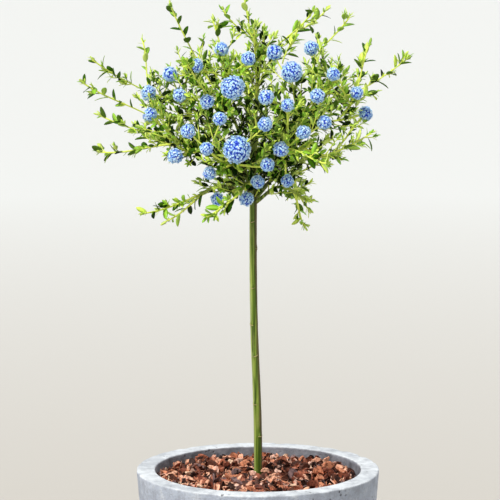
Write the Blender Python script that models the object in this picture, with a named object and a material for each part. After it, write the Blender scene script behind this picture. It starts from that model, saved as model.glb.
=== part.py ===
"""A blue-flowered California lilac, grown as a standard: a round head on one clear stem, in a banded pot.

Blender 4.5, metres, +Z up. The origin is the centre of the pot's flat underside, and the front is -Y.
The plant is built as it grows: trunk, boughs, then one mass of twigs, leaves and blooms on each bough.
"""

import math
import random

import bmesh
import bpy
import numpy as np
from mathutils import Matrix, Vector

GAP = 0.0003  # air between solids that touch on the real plant
SEED = 11

# ---------------------------------------------------------------- pot
POT_HEIGHT = 0.380
RIM_RADIUS = 0.200
RIM_WIDTH = 0.0305
LIP_OUTER_ROUND = 0.004
LIP_INNER_ROUND = 0.003
BAND_HEIGHT = 0.128
BAND_TAPER = math.radians(4.5)
BAND_OVERHANG = 0.018  # how far the band stands out from the body below it
BODY_WALL = 0.018
FOOT_RADIUS = 0.140
FOOT_CHAMFER = 0.004
POT_FLOOR = 0.022
POT_SEGMENTS = 32
DRAIN_HOLES = 4
DRAIN_RADIUS = 0.009
DRAIN_CIRCLE = 0.075

# ---------------------------------------------------------------- soil and bark mulch
GROUND = 0.339  # top of the soil, where the trunk is cut
MULCH_EDGE = 0.362
MULCH_MOUND = 0.369  # the mulch is heaped round the trunk
CHIPS = 40
CHIP_LENGTH = 0.026
CHIP_WIDTH = 0.013
CHIP_THICKNESS = 0.007
CHIP_LIFT = (0.0008, 0.0032)  # how far a chip's middle is above the bed
CHIP_FIELD = 0.149  # radius of the circle that the chips' middles keep to

# ---------------------------------------------------------------- trunk
TRUNK_TOP = 0.905
TRUNK_BACK = 0.010  # the trunk stands this far behind the middle of the pot
TRUNK_LEAN = -0.0065
TRUNK_LEAN_HEIGHT = 0.640
TRUNK_SWAY = 0.0016
FLARE_RADIUS = 0.0098
FLARE_HEIGHT = 0.040
TRUNK_FOOT_RADIUS = 0.0069
TRUNK_WAIST_RADIUS = 0.0060
TRUNK_TIP_RADIUS = 0.0036
CROWN_BASE = 0.815
LEAF_SCARS = (0.433, 0.487, 0.568, 0.620, 0.681, 0.745, 0.790)
SCAR_SWELL = 0.10
SCAR_REACH = 0.005
TRUNK_SIDES = 9
TRUNK_CLEARANCE = 0.00035  # keeps mulch and boughs off the trunk

# ---------------------------------------------------------------- crown
HEART = Vector((-0.0065, 0.006, 0.868))  # the boughs seem to spread from here
SHELL_LEVEL = 0.985  # height at which the crown is widest
SHELL_RADIUS = 0.188
SHELL_RISE = 0.118
SHELL_DROP = 0.145
SKIRT_LEVEL = 0.862  # a narrower skirt of leaves hangs on round the top of the stem
SKIRT_RADIUS = 0.092
SKIRT_DEPTH = 0.046

# ring of boughs: name, how many, first azimuth, rise, lowest fork on the trunk, bough's reach from the heart
BOUGH_RINGS = (
    ("low", 5, 186.0, -16.0, 0.820, 0.058),
    ("mid", 6, 8.0, 18.0, 0.836, 0.066),
    ("high", 5, 24.0, 50.0, 0.860, 0.070),
)
RISE_SWING = 5.0  # neighbouring boughs of a ring rise this much more or less
FORK_STEP = 0.002  # a fork moves up by this much at a time until its bough is clear of the others
BOUGH_SPACING = 0.0012
BOUGH_FOOT_RADIUS = 0.0032
BOUGH_TIP_RADIUS = 0.0024
BOUGH_SIDES = 6
BOUGH_STEPS = 4

# ---------------------------------------------------------------- long shoots
# each one's rise in degrees and reach from the heart, as seen square on to the side that it grows from
LEFT_SHOOTS = (
    (-31, 0.179), (-18, 0.191), (8, 0.261), (18, 0.278), (30, 0.317),
    (35, 0.327), (48, 0.287), (64, 0.309), (80, 0.276), (87, 0.292),
)
RIGHT_SHOOTS = (
    (-44, 0.122), (-34, 0.116), (9, 0.161), (21, 0.206), (32, 0.246), (37, 0.319),
    (49, 0.287), (58, 0.303), (67, 0.295), (71, 0.288), (86, 0.242),
)
NEAR_AND_FAR_SHOOTS = ((-20, 0.165), (10, 0.235), (26, 0.270), (42, 0.290), (60, 0.285), (76, 0.262))
SHOOT_SPREAD = 26.0  # degrees by which neighbouring long shoots turn to either side
TUFT_REACH = 0.016  # the leaves at a shoot's tip carry its reach on by this much
LEAFY_TRIES = 150
LEAFY_SPACING = 0.064  # a leafy end grows where no other end is this near
LEAFY_REACH = (0.86, 1.02)  # share of the crown's own reach

# ---------------------------------------------------------------- blooms
# tiers of blooms on the near side: height, then how far across each one sits
BLOOM_TIERS = (
    (1.076, (-0.058, 0.084)),
    (1.072, (0.025,)),
    (1.063, (-0.016,)),
    (1.051, (-0.098,)),
    (1.037, (-0.139, 0.118)),
    (1.006, (-0.174, -0.123, 0.012, 0.092, 0.156)),
    (0.998, (-0.080,)),
    (0.993, (0.045,)),
    (0.972, (-0.171, -0.060, 0.171)),
    (0.964, (0.010, 0.103)),
    (0.950, (-0.110, 0.070)),
    (0.923, (-0.081, 0.035)),
    (0.906, (-0.132,)),
    (0.897, (0.014,)),
    (0.880, (-0.077,)),
    (0.866, (-0.001, 0.046)),
    (0.835, (-0.019,)),
    (0.828, (-0.066,)),
)
BIG_BLOOMS = ((-0.040, 1.020, 0.0205), (0.052, 1.043, 0.0180), (-0.033, 0.923, 0.0240))
BLOOM_RADII = (0.0110, 0.0134)
FAR_TIERS = 10  # the far side repeats this many of the near tiers
FAR_SHIFT = 0.003  # and each of its blooms sits this much higher or lower
FLANK_FROM = 0.115  # blooms farther across than this are repeated at the crown's left and right flanks
FLANK_DEPTH = 0.030
BACK_SPREAD = 0.26  # a repeated bloom lies farther out by this share for each metre behind the first
BACK_DROP = 0.075  # and lower by this much
BLOOM_SEGMENTS = 7
BLOOM_RINGS = 4
BIG_BLOOM_SEGMENTS = 9
BIG_BLOOM_RINGS = 5

# ---------------------------------------------------------------- twigs and leaves
STEM_REACH = 0.135  # a mass's stem ends this far from the heart
STEM_SHARE = 1.2  # or at this share of the crown's own reach, where that is less
STEM_BUTT = 0.003  # straight foot of a stem, square to the limb that it carries on from
TWIG_FOOT_RADIUS = 0.0016
TWIG_TIP_RADIUS = 0.0010
TWIG_SIDES = 3
TWIG_STEPS = 3
TWIG_PULL = 0.34  # how far a twig keeps its first direction, as a share of its length
FORK_SHARES = (0.15, 0.6)  # where along each length of a twig another can fork from it
FORK_TRIES = 16
LEAST_TWIG = 0.02
BARE_STEM = 0.008  # no twig forks this near a stem's foot
LEAF_SPACING = 0.0235
LEAF_LENGTHS = (0.030, 0.040)
LEAF_WIDTH = 0.44  # share of the length
LEAF_RIDGE = 0.055  # height of the blade's ridge, as a share of its length
LEAF_OPENING = math.radians(52)  # angle between leaf and twig
LEAF_TURN = math.radians(137.5)
TIP_LEAVES = 3
TIP_LEAF_STEP = 0.0035
CELL_MARGIN = 0.0004
LIMB_MARGIN = 0.0010
WELD = 0.0000012  # corners this near each other are joined
SOLVERS = ("EXACT", "EXACT", "MANIFOLD", "MANIFOLD", "EXACT", "MANIFOLD")  # for each try at growing a mass


# ================================================================ scene and meshes
def clear_scene():
    for obj in list(bpy.data.objects):
        bpy.data.objects.remove(obj)


def material(name, colour, roughness):
    made = bpy.data.materials.new(name)
    made.use_nodes = True
    shader = made.node_tree.nodes["Principled BSDF"]
    shader.inputs["Base Color"].default_value = (*colour, 1.0)
    shader.inputs["Roughness"].default_value = roughness
    shader.inputs["Metallic"].default_value = 0.0
    return made


def object_from(shape, name, *materials):
    """A linked object that holds the bmesh, with its faces turned outwards."""
    bmesh.ops.recalc_face_normals(shape, faces=shape.faces)
    mesh = bpy.data.meshes.new(name)
    shape.to_mesh(mesh)
    shape.free()
    for each in materials:
        mesh.materials.append(each)
    obj = bpy.data.objects.new(name, mesh)
    bpy.context.scene.collection.objects.link(obj)
    return obj


def as_cutter(obj):
    obj.hide_render = True
    obj.display_type = "WIRE"
    return obj


def add_boolean(obj, other, operation="DIFFERENCE"):
    cut = obj.modifiers.new(operation.lower(), "BOOLEAN")
    cut.operation = operation
    cut.object = other
    cut.solver = "EXACT"


def turned(profile, segments):
    """A bmesh turned about Z from (radius, height) points that start and end on the axis."""
    shape = bmesh.new()
    corners = [shape.verts.new((radius, 0.0, height)) for radius, height in profile]
    edges = [shape.edges.new(pair) for pair in zip(corners, corners[1:])]
    bmesh.ops.spin(
        shape, geom=corners + edges, cent=(0, 0, 0), axis=(0, 0, 1), angle=math.tau, steps=segments, use_merge=True
    )
    bmesh.ops.remove_doubles(shape, verts=shape.verts, dist=1e-6)
    return shape


def arc(centre, radius, first, last, steps):
    """(radius, height) points of a rounding, by angle in degrees."""
    angles = [math.radians(first + (last - first) * i / steps) for i in range(steps + 1)]
    return [(centre[0] + radius * math.cos(a), centre[1] + radius * math.sin(a)) for a in angles]


def frames(points):
    """A direction and two cross directions at each point, carried along the line without twisting."""
    found = []
    across = None
    for i, point in enumerate(points):
        along = (points[min(i + 1, len(points) - 1)] - points[max(i - 1, 0)]).normalized()
        if across is None:
            across = along.orthogonal()
        across = (across - along * across.dot(along)).normalized()
        found.append((along, across, along.cross(across)))
    return found


def tube(points, radii, sides, slot=0):
    """A closed bmesh round a line of points, with one radius for each point."""
    shape = bmesh.new()
    rings = []
    for point, radius, (_, across, up) in zip(points, radii, frames(points)):
        turns = [math.tau * i / sides for i in range(sides)]
        rings.append([shape.verts.new(point + (across * math.cos(a) + up * math.sin(a)) * radius) for a in turns])
    for low, high in zip(rings, rings[1:]):
        for i in range(sides):
            j = (i + 1) % sides
            shape.faces.new((low[i], low[j], high[j], high[i]))
    shape.faces.new(rings[0][::-1])
    shape.faces.new(rings[-1])
    for face in shape.faces:
        face.material_index = slot
    return shape


# ================================================================ pot, soil and mulch
def inner_radius(height):
    """Radius of the pot's inner wall: slanted under the rim, then parallel to the body."""
    band_foot = POT_HEIGHT - BAND_HEIGHT
    top, middle, bottom = RIM_RADIUS - RIM_WIDTH, body_top_radius() - BODY_WALL, FOOT_RADIUS - BODY_WALL
    if height >= band_foot:
        return middle + (top - middle) * (height - band_foot) / BAND_HEIGHT
    return bottom + (middle - bottom) * (height - POT_FLOOR) / (band_foot - POT_FLOOR)


def body_top_radius():
    return RIM_RADIUS - BAND_HEIGHT * math.tan(BAND_TAPER) - BAND_OVERHANG


def make_pot(stone):
    band_foot = POT_HEIGHT - BAND_HEIGHT
    band_radius = RIM_RADIUS - BAND_HEIGHT * math.tan(BAND_TAPER)
    outer = (RIM_RADIUS - LIP_OUTER_ROUND, POT_HEIGHT - LIP_OUTER_ROUND)
    inner = (RIM_RADIUS - RIM_WIDTH + LIP_INNER_ROUND, POT_HEIGHT - LIP_INNER_ROUND)
    profile = [(0.0, 0.0), (FOOT_RADIUS - FOOT_CHAMFER, 0.0), (FOOT_RADIUS, FOOT_CHAMFER)]
    profile += [(body_top_radius(), band_foot), (band_radius - 0.003, band_foot), (band_radius, band_foot + 0.004)]
    profile += arc(outer, LIP_OUTER_ROUND, 0, 90, 3)
    profile += arc(inner, LIP_INNER_ROUND, 90, 180, 2)
    profile += [(inner_radius(band_foot), band_foot), (inner_radius(POT_FLOOR), POT_FLOOR), (0.0, POT_FLOOR)]
    pot = object_from(turned(profile, POT_SEGMENTS), "pot", stone)
    for i in range(DRAIN_HOLES):
        turn = math.tau * (i + 0.5) / DRAIN_HOLES
        shape = bmesh.new()
        place = Matrix.Translation((DRAIN_CIRCLE * math.cos(turn), DRAIN_CIRCLE * math.sin(turn), POT_FLOOR / 2))
        bmesh.ops.create_cone(
            shape, cap_ends=True, segments=12, radius1=DRAIN_RADIUS, radius2=DRAIN_RADIUS, depth=2 * POT_FLOOR,
            matrix=place,
        )
        add_boolean(pot, as_cutter(object_from(shape, f"drain_cutter_{i + 1}")))
    return pot


def make_soil(earth):
    band_foot = POT_HEIGHT - BAND_HEIGHT
    floor = POT_FLOOR + GAP
    side = GAP / math.cos(BAND_TAPER) + 0.0001
    profile = [(0.0, floor), (inner_radius(floor) - side, floor), (inner_radius(band_foot) - side, band_foot)]
    profile += [(inner_radius(GROUND) - side, GROUND), (0.0, GROUND)]
    return object_from(turned(profile, POT_SEGMENTS), "soil", earth)


def mulch_height(radius):
    """The mulch's smooth top: level at the wall and heaped in the middle."""
    share = min(radius / CHIP_FIELD, 1.0)
    return MULCH_EDGE + (MULCH_MOUND - MULCH_EDGE) * (1 - share * share)


def chip(middle, rng):
    """An eight-sided splinter of bark that leans at random."""
    size = rng.uniform(0.75, 1.15)
    spin = Matrix.Rotation(rng.uniform(0, math.tau), 3, "Z") @ Matrix.Rotation(rng.uniform(-0.5, 0.5), 3, "Y")
    spin = spin @ Matrix.Rotation(rng.uniform(-0.6, 0.6), 3, "X")
    half = [CHIP_LENGTH * size / 2, CHIP_WIDTH * size / 2, CHIP_THICKNESS * size / 2]
    shape = bmesh.new()
    ends = []
    for axis in range(3):
        for sign in (-1, 1):
            tip = Vector((0, 0, 0))
            tip[axis] = sign * half[axis]
            tip[(axis + 1) % 3] = rng.uniform(-0.3, 0.3) * half[(axis + 1) % 3]
            ends.append(shape.verts.new(middle + spin @ tip))
    for a in (0, 1):
        for b in (2, 3):
            for c in (4, 5):
                shape.faces.new((ends[a], ends[b], ends[c]))
    return shape


def make_mulch(bark, trunk_cutter):
    rng = random.Random(SEED)
    side = GAP + 0.0002
    foot = GROUND + GAP
    radii = (0.140, 0.095, 0.050)
    profile = [(0.0, foot), (inner_radius(foot) - side, foot), (inner_radius(MULCH_EDGE) - side, MULCH_EDGE)]
    profile += [(radius, mulch_height(radius)) for radius in radii] + [(0.0, MULCH_MOUND)]
    bed = object_from(turned(profile, POT_SEGMENTS), "mulch", bark)
    pieces = []
    golden = math.pi * (3 - math.sqrt(5))
    for i in range(CHIPS):
        radius = CHIP_FIELD * math.sqrt((i + 0.6) / CHIPS)
        turn = i * golden + rng.uniform(-0.2, 0.2)
        height = mulch_height(radius) + rng.uniform(*CHIP_LIFT)
        middle = Vector((radius * math.cos(turn), radius * math.sin(turn), height))
        pieces.append(object_from(chip(middle, rng), f"chip_{i}", bark))
    fuse(bed, pieces)
    add_boolean(bed, trunk_cutter)
    return bed


# ================================================================ trunk and boughs
def smooth(share):
    share = min(max(share, 0.0), 1.0)
    return share * share * (3 - 2 * share)


def trunk_point(height):
    share = smooth((height - GROUND) / (TRUNK_LEAN_HEIGHT - GROUND))
    sway = TRUNK_SWAY * math.sin(math.tau * (height - GROUND) / (TRUNK_TOP - GROUND))
    return Vector((TRUNK_LEAN * share + sway, TRUNK_BACK - 0.004 * share, height))


def trunk_radius(height):
    """Flare at the ground, a slow taper up to the crown, then a quick one to the tip."""
    flare = (FLARE_RADIUS - TRUNK_FOOT_RADIUS) * max(0.0, 1 - (height - GROUND) / FLARE_HEIGHT) ** 2
    clear = smooth((height - GROUND) / (CROWN_BASE - GROUND))
    radius = TRUNK_FOOT_RADIUS + (TRUNK_WAIST_RADIUS - TRUNK_FOOT_RADIUS) * clear + flare
    fork = max(0.0, (height - CROWN_BASE) / (TRUNK_TOP - CROWN_BASE))
    radius += (TRUNK_TIP_RADIUS - TRUNK_WAIST_RADIUS) * fork
    for scar in LEAF_SCARS:
        radius *= 1 + SCAR_SWELL * max(0.0, 1 - abs(height - scar) / SCAR_REACH)
    return radius


def trunk_heights():
    """Levels of the trunk's rings, closer at the flare and at each leaf scar."""
    levels = [GROUND + GAP, GROUND + 0.010, GROUND + 0.022, GROUND + FLARE_HEIGHT]
    for scar in LEAF_SCARS:
        levels += [scar - SCAR_REACH, scar, scar + SCAR_REACH]
    levels += [CROWN_BASE, 0.850, 0.880, TRUNK_TOP]
    return levels


def make_trunk(name, growth, *materials):
    heights = trunk_heights()
    points = [trunk_point(height) for height in heights]
    radii = [trunk_radius(height) + growth for height in heights]
    return object_from(tube(points, radii, TRUNK_SIDES), name, *materials)


def towards(azimuth, rise):
    a, e = math.radians(azimuth), math.radians(rise)
    return Vector((math.cos(a) * math.cos(e), math.sin(a) * math.cos(e), math.sin(e)))


def curve_between(start, leave, end, arrive, steps, pull):
    """Points of a smooth curve that leaves start along one direction and reaches end along another."""
    reach = (end - start).length * pull
    first, second = start + leave.normalized() * reach, end - arrive.normalized() * reach
    points = []
    for i in range(steps + 1):
        t = i / steps
        s = 1 - t
        points.append(start * s**3 + first * 3 * s * s * t + second * 3 * s * t * t + end * t**3)
    return points


def tapered(first, last, count):
    return [first + (last - first) * i / (count - 1) for i in range(count)]


def bough_line(start, way, reach):
    end = HEART + way * reach
    return curve_between(start, Vector((way.x, way.y, 0.35)), end, way, BOUGH_STEPS, 0.35)


def nearest_approach(line, others):
    """The least distance between a line of points and all of the other lines."""
    if not others:
        return math.inf
    spots = np.array([tuple(a.lerp(b, i / 6)) for a, b in zip(line, line[1:]) for i in range(7)])
    rest = np.array([tuple(a.lerp(b, i / 6)) for other in others for a, b in zip(other, other[1:]) for i in range(7)])
    return float(np.linalg.norm(spots[:, None, :] - rest[None, :, :], axis=2).min())


def outside_trunk(line):
    """The part of a bough's line that shows, with its hidden foot left off."""
    start = line[0].lerp(line[1], 0.35)
    return [start] + line[1:]


def plan_boughs():
    """Name, direction, line and radii of each bough, and of the trunk's own tip."""
    plans = []
    spacing = 2 * BOUGH_FOOT_RADIUS + BOUGH_SPACING
    for name, count, first, rise, fork, reach in BOUGH_RINGS:
        for i in range(count):
            way = towards(first + 360.0 * i / count, rise + (RISE_SWING if i % 2 else -RISE_SWING))
            height = fork
            line = bough_line(trunk_point(height), way, reach)
            shown = [outside_trunk(plan[2]) for plan in plans]
            while nearest_approach(outside_trunk(line), shown) < spacing:
                height += FORK_STEP
                line = bough_line(trunk_point(height), way, reach)
            plans.append((f"{name}_{i + 1}", way, line, tapered(BOUGH_FOOT_RADIUS, BOUGH_TIP_RADIUS, len(line))))
    tip = [trunk_point(height) for height in (0.860, 0.880, TRUNK_TOP)]
    plans.append(("top", towards(0, 88), tip, [trunk_radius(point.z) for point in tip]))
    return plans


def make_boughs(plans, bark, trunk_cutter):
    for name, _, line, radii in plans[:-1]:
        bough = object_from(tube(line, radii, BOUGH_SIDES), f"bough_{name}", bark)
        add_boolean(bough, trunk_cutter)


# ================================================================ where twigs are to end
def shell_radius(height):
    """Radius of the crown's bloom-bearing shell, a flattened dome over a narrower skirt."""
    reach = SHELL_RISE if height > SHELL_LEVEL else SHELL_DROP
    dome = SHELL_RADIUS * math.sqrt(max(0.0, 1 - ((height - SHELL_LEVEL) / reach) ** 2))
    skirt = SKIRT_RADIUS * math.sqrt(max(0.0, 1 - ((height - SKIRT_LEVEL) / SKIRT_DEPTH) ** 2))
    return max(dome, skirt)


def shell_depth(across, height):
    """How far the shell lies before and behind the heart at that distance across and height."""
    return math.sqrt(max(0.0, shell_radius(height) ** 2 - (across - HEART.x) ** 2))


def carried_back(across, height, distance):
    """Where a bloom that lies that far behind another is placed: a little farther out and lower."""
    return across * (1 + BACK_SPREAD * distance), height - BACK_DROP * distance


def on_shell(across, height, side):
    """The point of the shell at that height and distance across; side -1 is the near side and 1 the far one."""
    return Vector((across, HEART.y + side * shell_depth(across, height), height))


def bloom_ends(rng):
    """(place, radius) of every bloom."""
    ends = [(on_shell(across, height, -1), radius) for across, height, radius in BIG_BLOOMS]
    for height, places in BLOOM_TIERS:
        ends += [(on_shell(across, height, -1), rng.uniform(*BLOOM_RADII)) for across in places]
        for across in places:
            if abs(across) > FLANK_FROM:
                back = rng.uniform(-FLANK_DEPTH, FLANK_DEPTH)
                out, level = carried_back(across, height, shell_depth(across, height) + back)
                ends.append((Vector((out, HEART.y + back, level)), rng.uniform(*BLOOM_RADII)))
    for height, places in BLOOM_TIERS[:FAR_TIERS]:
        for across in places:
            out, level = carried_back(across, height, 2 * shell_depth(across, height))
            level += rng.uniform(-FAR_SHIFT, FAR_SHIFT)
            ends.append((on_shell(out, level, 1), rng.uniform(*BLOOM_RADII)))
    return ends


def shoot_ends():
    """The tips of the long shoots that stand out of the crown on every side."""
    ends = []
    sides = ((180, LEFT_SHOOTS), (0, RIGHT_SHOOTS), (270, NEAR_AND_FAR_SHOOTS), (90, NEAR_AND_FAR_SHOOTS))
    for azimuth, shoots in sides:
        for i, (rise, reach) in enumerate(shoots):
            out = towards(azimuth, rise) * (reach - TUFT_REACH)
            turn = math.radians(SHOOT_SPREAD * ((i * 2) % 3 - 1))
            ends.append(HEART + out + Vector((-out.y, out.x, 0)) * math.tan(turn))
    return ends


def crown_reach(way):
    """How far the shell is from the heart in that direction."""
    reach = 0.05
    while reach < 0.3:
        spot = HEART + way * reach
        if math.hypot(spot.x - HEART.x, spot.y - HEART.y) > shell_radius(spot.z):
            break
        reach += 0.004
    return reach


def leafy_ends(taken, rng):
    """Tips of the leafy twigs that fill the crown between blooms and shoots, tried evenly in all directions."""
    taken = list(taken)
    ends = []
    for i in range(LEAFY_TRIES):
        rise = math.asin(1 - 1.55 * (i + 0.5) / LEAFY_TRIES)
        way = towards(math.degrees(i * LEAF_TURN), math.degrees(rise))
        end = HEART + way * crown_reach(way) * rng.uniform(*LEAFY_REACH)
        if all((end - other).length > LEAFY_SPACING for other in taken):
            ends.append(end)
            taken.append(end)
    return ends


# ================================================================ the space of one mass
class Space:
    """A mass's own space: the directions from the heart that lie nearest to its bough, clear of all limbs."""

    def __init__(self, index, ways, limb_points, limb_radii):
        self.planes = [(ways[index] - way).normalized() for i, way in enumerate(ways) if i != index]
        self.limb_points = limb_points
        self.limb_radii = limb_radii

    def inside(self, point, radius=0.0):
        offset = point - HEART
        return all(offset.dot(plane) > CELL_MARGIN + radius for plane in self.planes)

    def drawn_in(self, point, radius):
        """The point moved just far enough into the space for a ball of that radius round it."""
        for _ in range(4):
            for plane in self.planes:
                short = CELL_MARGIN * 1.5 + radius - (point - HEART).dot(plane)
                if short > 0:
                    point = point + plane * short
        return point

    def clear(self, points, radius):
        """Whether a line of points with that thickness touches no limb."""
        spots = np.array([tuple(point) for point in points])
        reach = np.linalg.norm(spots[:, None, :] - self.limb_points[None, :, :], axis=2)
        return bool((reach - self.limb_radii > radius + LIMB_MARGIN).all())


def limb_samples(plans):
    """Points close together along the trunk's top and every bough, with the radius there."""
    points, radii = [], []
    for step in range(60):
        height = 0.72 + (TRUNK_TOP - 0.72) * step / 59
        points.append(tuple(trunk_point(height)))
        radii.append(trunk_radius(height))
    for _, _, line, sizes in plans[:-1]:
        for (a, b), size in zip(zip(line, line[1:]), sizes):
            for step in range(8):
                points.append(tuple(a.lerp(b, step / 8)))
                radii.append(size)
    return np.array(points), np.array(radii)


# ================================================================ twigs
class Twig:
    def __init__(self, points, foot, tip):
        self.points = points
        self.radii = tapered(foot, tip, len(points))

    def length(self):
        return sum((b - a).length for a, b in zip(self.points, self.points[1:]))

    def at(self, distance):
        """(point, direction, radius) that far along the twig."""
        for i, (a, b) in enumerate(zip(self.points, self.points[1:])):
            span = (b - a).length
            if distance <= span or i == len(self.points) - 2:
                share = min(distance / span, 1.0)
                return a.lerp(b, share), (b - a).normalized(), self.radii[i]
            distance -= span


def stem_of(plan):
    """The stem that carries on from a bough's tip, or from the trunk's."""
    _, way, line, radii = plan
    leave = (line[-1] - line[-2]).normalized()
    start = line[-1] + leave * GAP
    squared = start + leave * STEM_BUTT
    end = HEART + way * min(STEM_REACH, crown_reach(way) * STEM_SHARE)
    curve = curve_between(squared, leave, end, way, TWIG_STEPS, TWIG_PULL)
    return Twig([start] + curve, radii[-1], TWIG_FOOT_RADIUS)


def fork_to(end, twigs, space, radius):
    """A new twig to end from the twig that reaches it most directly, or None where none can."""
    choices = []
    for twig in twigs:
        for i in range(1, len(twig.points)):
            for share in FORK_SHARES:
                foot = twig.points[i - 1].lerp(twig.points[i], share)
                along = (twig.points[i] - twig.points[i - 1]).normalized()
                way = end - foot
                turn = along.angle(way)
                if way.length > LEAST_TWIG and (foot - twigs[0].points[0]).length > BARE_STEM:
                    choices.append((way.length * (1 + turn * turn), foot, along, twig.radii[i]))
    for _, foot, along, size in sorted(choices, key=lambda choice: choice[0])[:FORK_TRIES]:
        way = (end - foot).normalized()
        arrive = (way + (end - HEART).normalized() * 0.5 + Vector((0, 0, 0.25))).normalized()
        leave = (along * 0.7 + way).normalized()
        line = curve_between(foot, leave, end, arrive, TWIG_STEPS, TWIG_PULL)
        foot_radius = min(TWIG_FOOT_RADIUS, size * 0.85)
        fits = all(space.inside(point, TWIG_FOOT_RADIUS) for point in line)
        if fits and space.inside(end, radius) and space.clear(line[1:] + [foot.lerp(line[1], 0.5)], foot_radius):
            return Twig(line, foot_radius, TWIG_TIP_RADIUS)
    return None


def grow(plan, ends, space):
    """The mass's twigs, stem first, and the blooms that they carry."""
    stem = stem_of(plan)
    twigs, blooms = [stem], []
    for end, radius in sorted(ends, key=lambda item: (item[0] - stem.points[0]).length):
        end = space.drawn_in(end, max(radius, TWIG_FOOT_RADIUS))
        twig = fork_to(end, twigs, space, radius)
        if twig is None:
            continue
        twigs.append(twig)
        if radius:
            blooms.append((end, radius))
    return twigs, blooms


# ================================================================ leaves
def leaf_line(twig, distance, turn, opening, rng):
    """(foot, direction, facing) of a leaf at that distance along a twig."""
    foot, along, _ = twig.at(distance)
    side = along.orthogonal().normalized()
    side = Matrix.Rotation(turn, 3, along) @ side
    lift = Vector((0, 0, rng.uniform(-0.15, 0.2)))
    way = (along * math.cos(opening) + side * math.sin(opening) + lift).normalized()
    facing = (Vector((0, 0, 1)) + along * 0.4 - way * way.z).normalized()
    facing = (facing - way * facing.dot(way)).normalized()
    return foot, way, facing


def leaf_blade(foot, way, facing, length):
    """Foot, right edge, ridge, left edge and tip of a six-faced blade, widest before its middle."""
    side = way.cross(facing) * length * LEAF_WIDTH / 2
    middle = foot + way * length * 0.45
    return [foot, middle + side, middle + facing * length * LEAF_RIDGE, middle - side, foot + way * length]


def leaf_shape(corners):
    shape = bmesh.new()
    foot, right, ridge, left, tip = [shape.verts.new(corner) for corner in corners]
    waist = (right, ridge, left)
    for i in range(3):
        shape.faces.new((foot, waist[i], waist[(i + 1) % 3]))
        shape.faces.new((tip, waist[(i + 1) % 3], waist[i]))
    return shape


def leaf_places(twig, bare_tip):
    """(distance along the twig, opening, share of full size) of each leaf, from the tip back."""
    length = twig.length()
    places = []
    if not bare_tip:
        for i in range(TIP_LEAVES):
            places.append((length - 0.001 - TIP_LEAF_STEP * i, LEAF_OPENING * (0.45 + 0.2 * i), 0.8))
    distance = length - LEAF_SPACING
    while distance > length * 0.25:
        places.append((distance, LEAF_OPENING, 1.0))
        distance -= LEAF_SPACING
    return places


def leaves_on(twig, space, blooms, first_turn, bare_tip, rng):
    """Blades along the outer part of a twig, turned round it by the golden angle, with a tuft at a leafy tip."""
    kept = []
    for i, (distance, opening, share) in enumerate(leaf_places(twig, bare_tip)):
        foot, way, facing = leaf_line(twig, distance, first_turn + i * LEAF_TURN, opening, rng)
        size = rng.uniform(*LEAF_LENGTHS) * share
        corners = leaf_blade(foot, way, facing, size)
        spine = [foot.lerp(corners[-1], part) for part in (0.25, 0.5, 0.75, 1.0)]
        fits = all(space.inside(corner) for corner in corners)
        if fits and space.clear(spine, size * LEAF_WIDTH / 2) and clear_of_blooms(spine, blooms):
            kept.append(corners)
    return kept


def clear_of_blooms(spine, blooms):
    return all((spot - middle).length > radius + 0.002 for spot in spine for middle, radius in blooms)


# ================================================================ fusing
def fuse(body, pieces, solver="EXACT"):
    """Joins the pieces to body with one Boolean union on a collection, and keeps the one outer skin."""
    group = bpy.data.collections.new(f"{body.name}_pieces")
    bpy.context.scene.collection.children.link(group)
    for piece in pieces:
        bpy.context.scene.collection.objects.unlink(piece)
        group.objects.link(piece)
    join = body.modifiers.new("union", "BOOLEAN")
    join.operation = "UNION"
    join.operand_type = "COLLECTION"
    join.collection = group
    join.solver = solver
    bpy.context.view_layer.objects.active = body
    bpy.ops.object.modifier_apply(modifier=join.name)
    for piece in pieces:
        bpy.data.objects.remove(piece)
    bpy.data.collections.remove(group)
    keep_outer_skin(body)


def keep_outer_skin(body):
    """Drops sealed hollows and loose scraps: every shell but the largest."""
    shape = bmesh.new()
    shape.from_mesh(body.data)
    shape.verts.ensure_lookup_table()
    unseen = set(shape.verts)
    shells = []
    while unseen:
        edge_of_search = [unseen.pop()]
        shell = set(edge_of_search)
        while edge_of_search:
            vert = edge_of_search.pop()
            for edge in vert.link_edges:
                other = edge.other_vert(vert)
                if other in unseen:
                    unseen.discard(other)
                    shell.add(other)
                    edge_of_search.append(other)
        shells.append(shell)
    largest = max(shells, key=len)
    loose = [vert for shell in shells if shell is not largest for vert in shell]
    bmesh.ops.delete(shape, geom=loose, context="VERTS")
    shape.to_mesh(body.data)
    shape.free()


def sound(body):
    """Whether the skin is closed everywhere and stays so once corners that almost meet are joined."""
    shape = bmesh.new()
    shape.from_mesh(body.data)
    bmesh.ops.triangulate(shape, faces=shape.faces)
    bmesh.ops.remove_doubles(shape, verts=shape.verts, dist=WELD)
    whole = all(edge.is_manifold for edge in shape.edges) and all(vert.is_manifold for vert in shape.verts)
    shape.to_mesh(body.data)
    shape.free()
    return whole


def bloom_shape(middle, radius, way):
    """A ball of florets, with its pole on the stalk."""
    shape = bmesh.new()
    place = Matrix.Translation(middle) @ way.to_track_quat("Z", "Y").to_matrix().to_4x4()
    big = radius > max(BLOOM_RADII)
    segments, rings = (BIG_BLOOM_SEGMENTS, BIG_BLOOM_RINGS) if big else (BLOOM_SEGMENTS, BLOOM_RINGS)
    bmesh.ops.create_uvsphere(shape, u_segments=segments, v_segments=rings, radius=radius, matrix=place)
    for face in shape.faces:
        face.material_index = 1
    return shape


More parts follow.
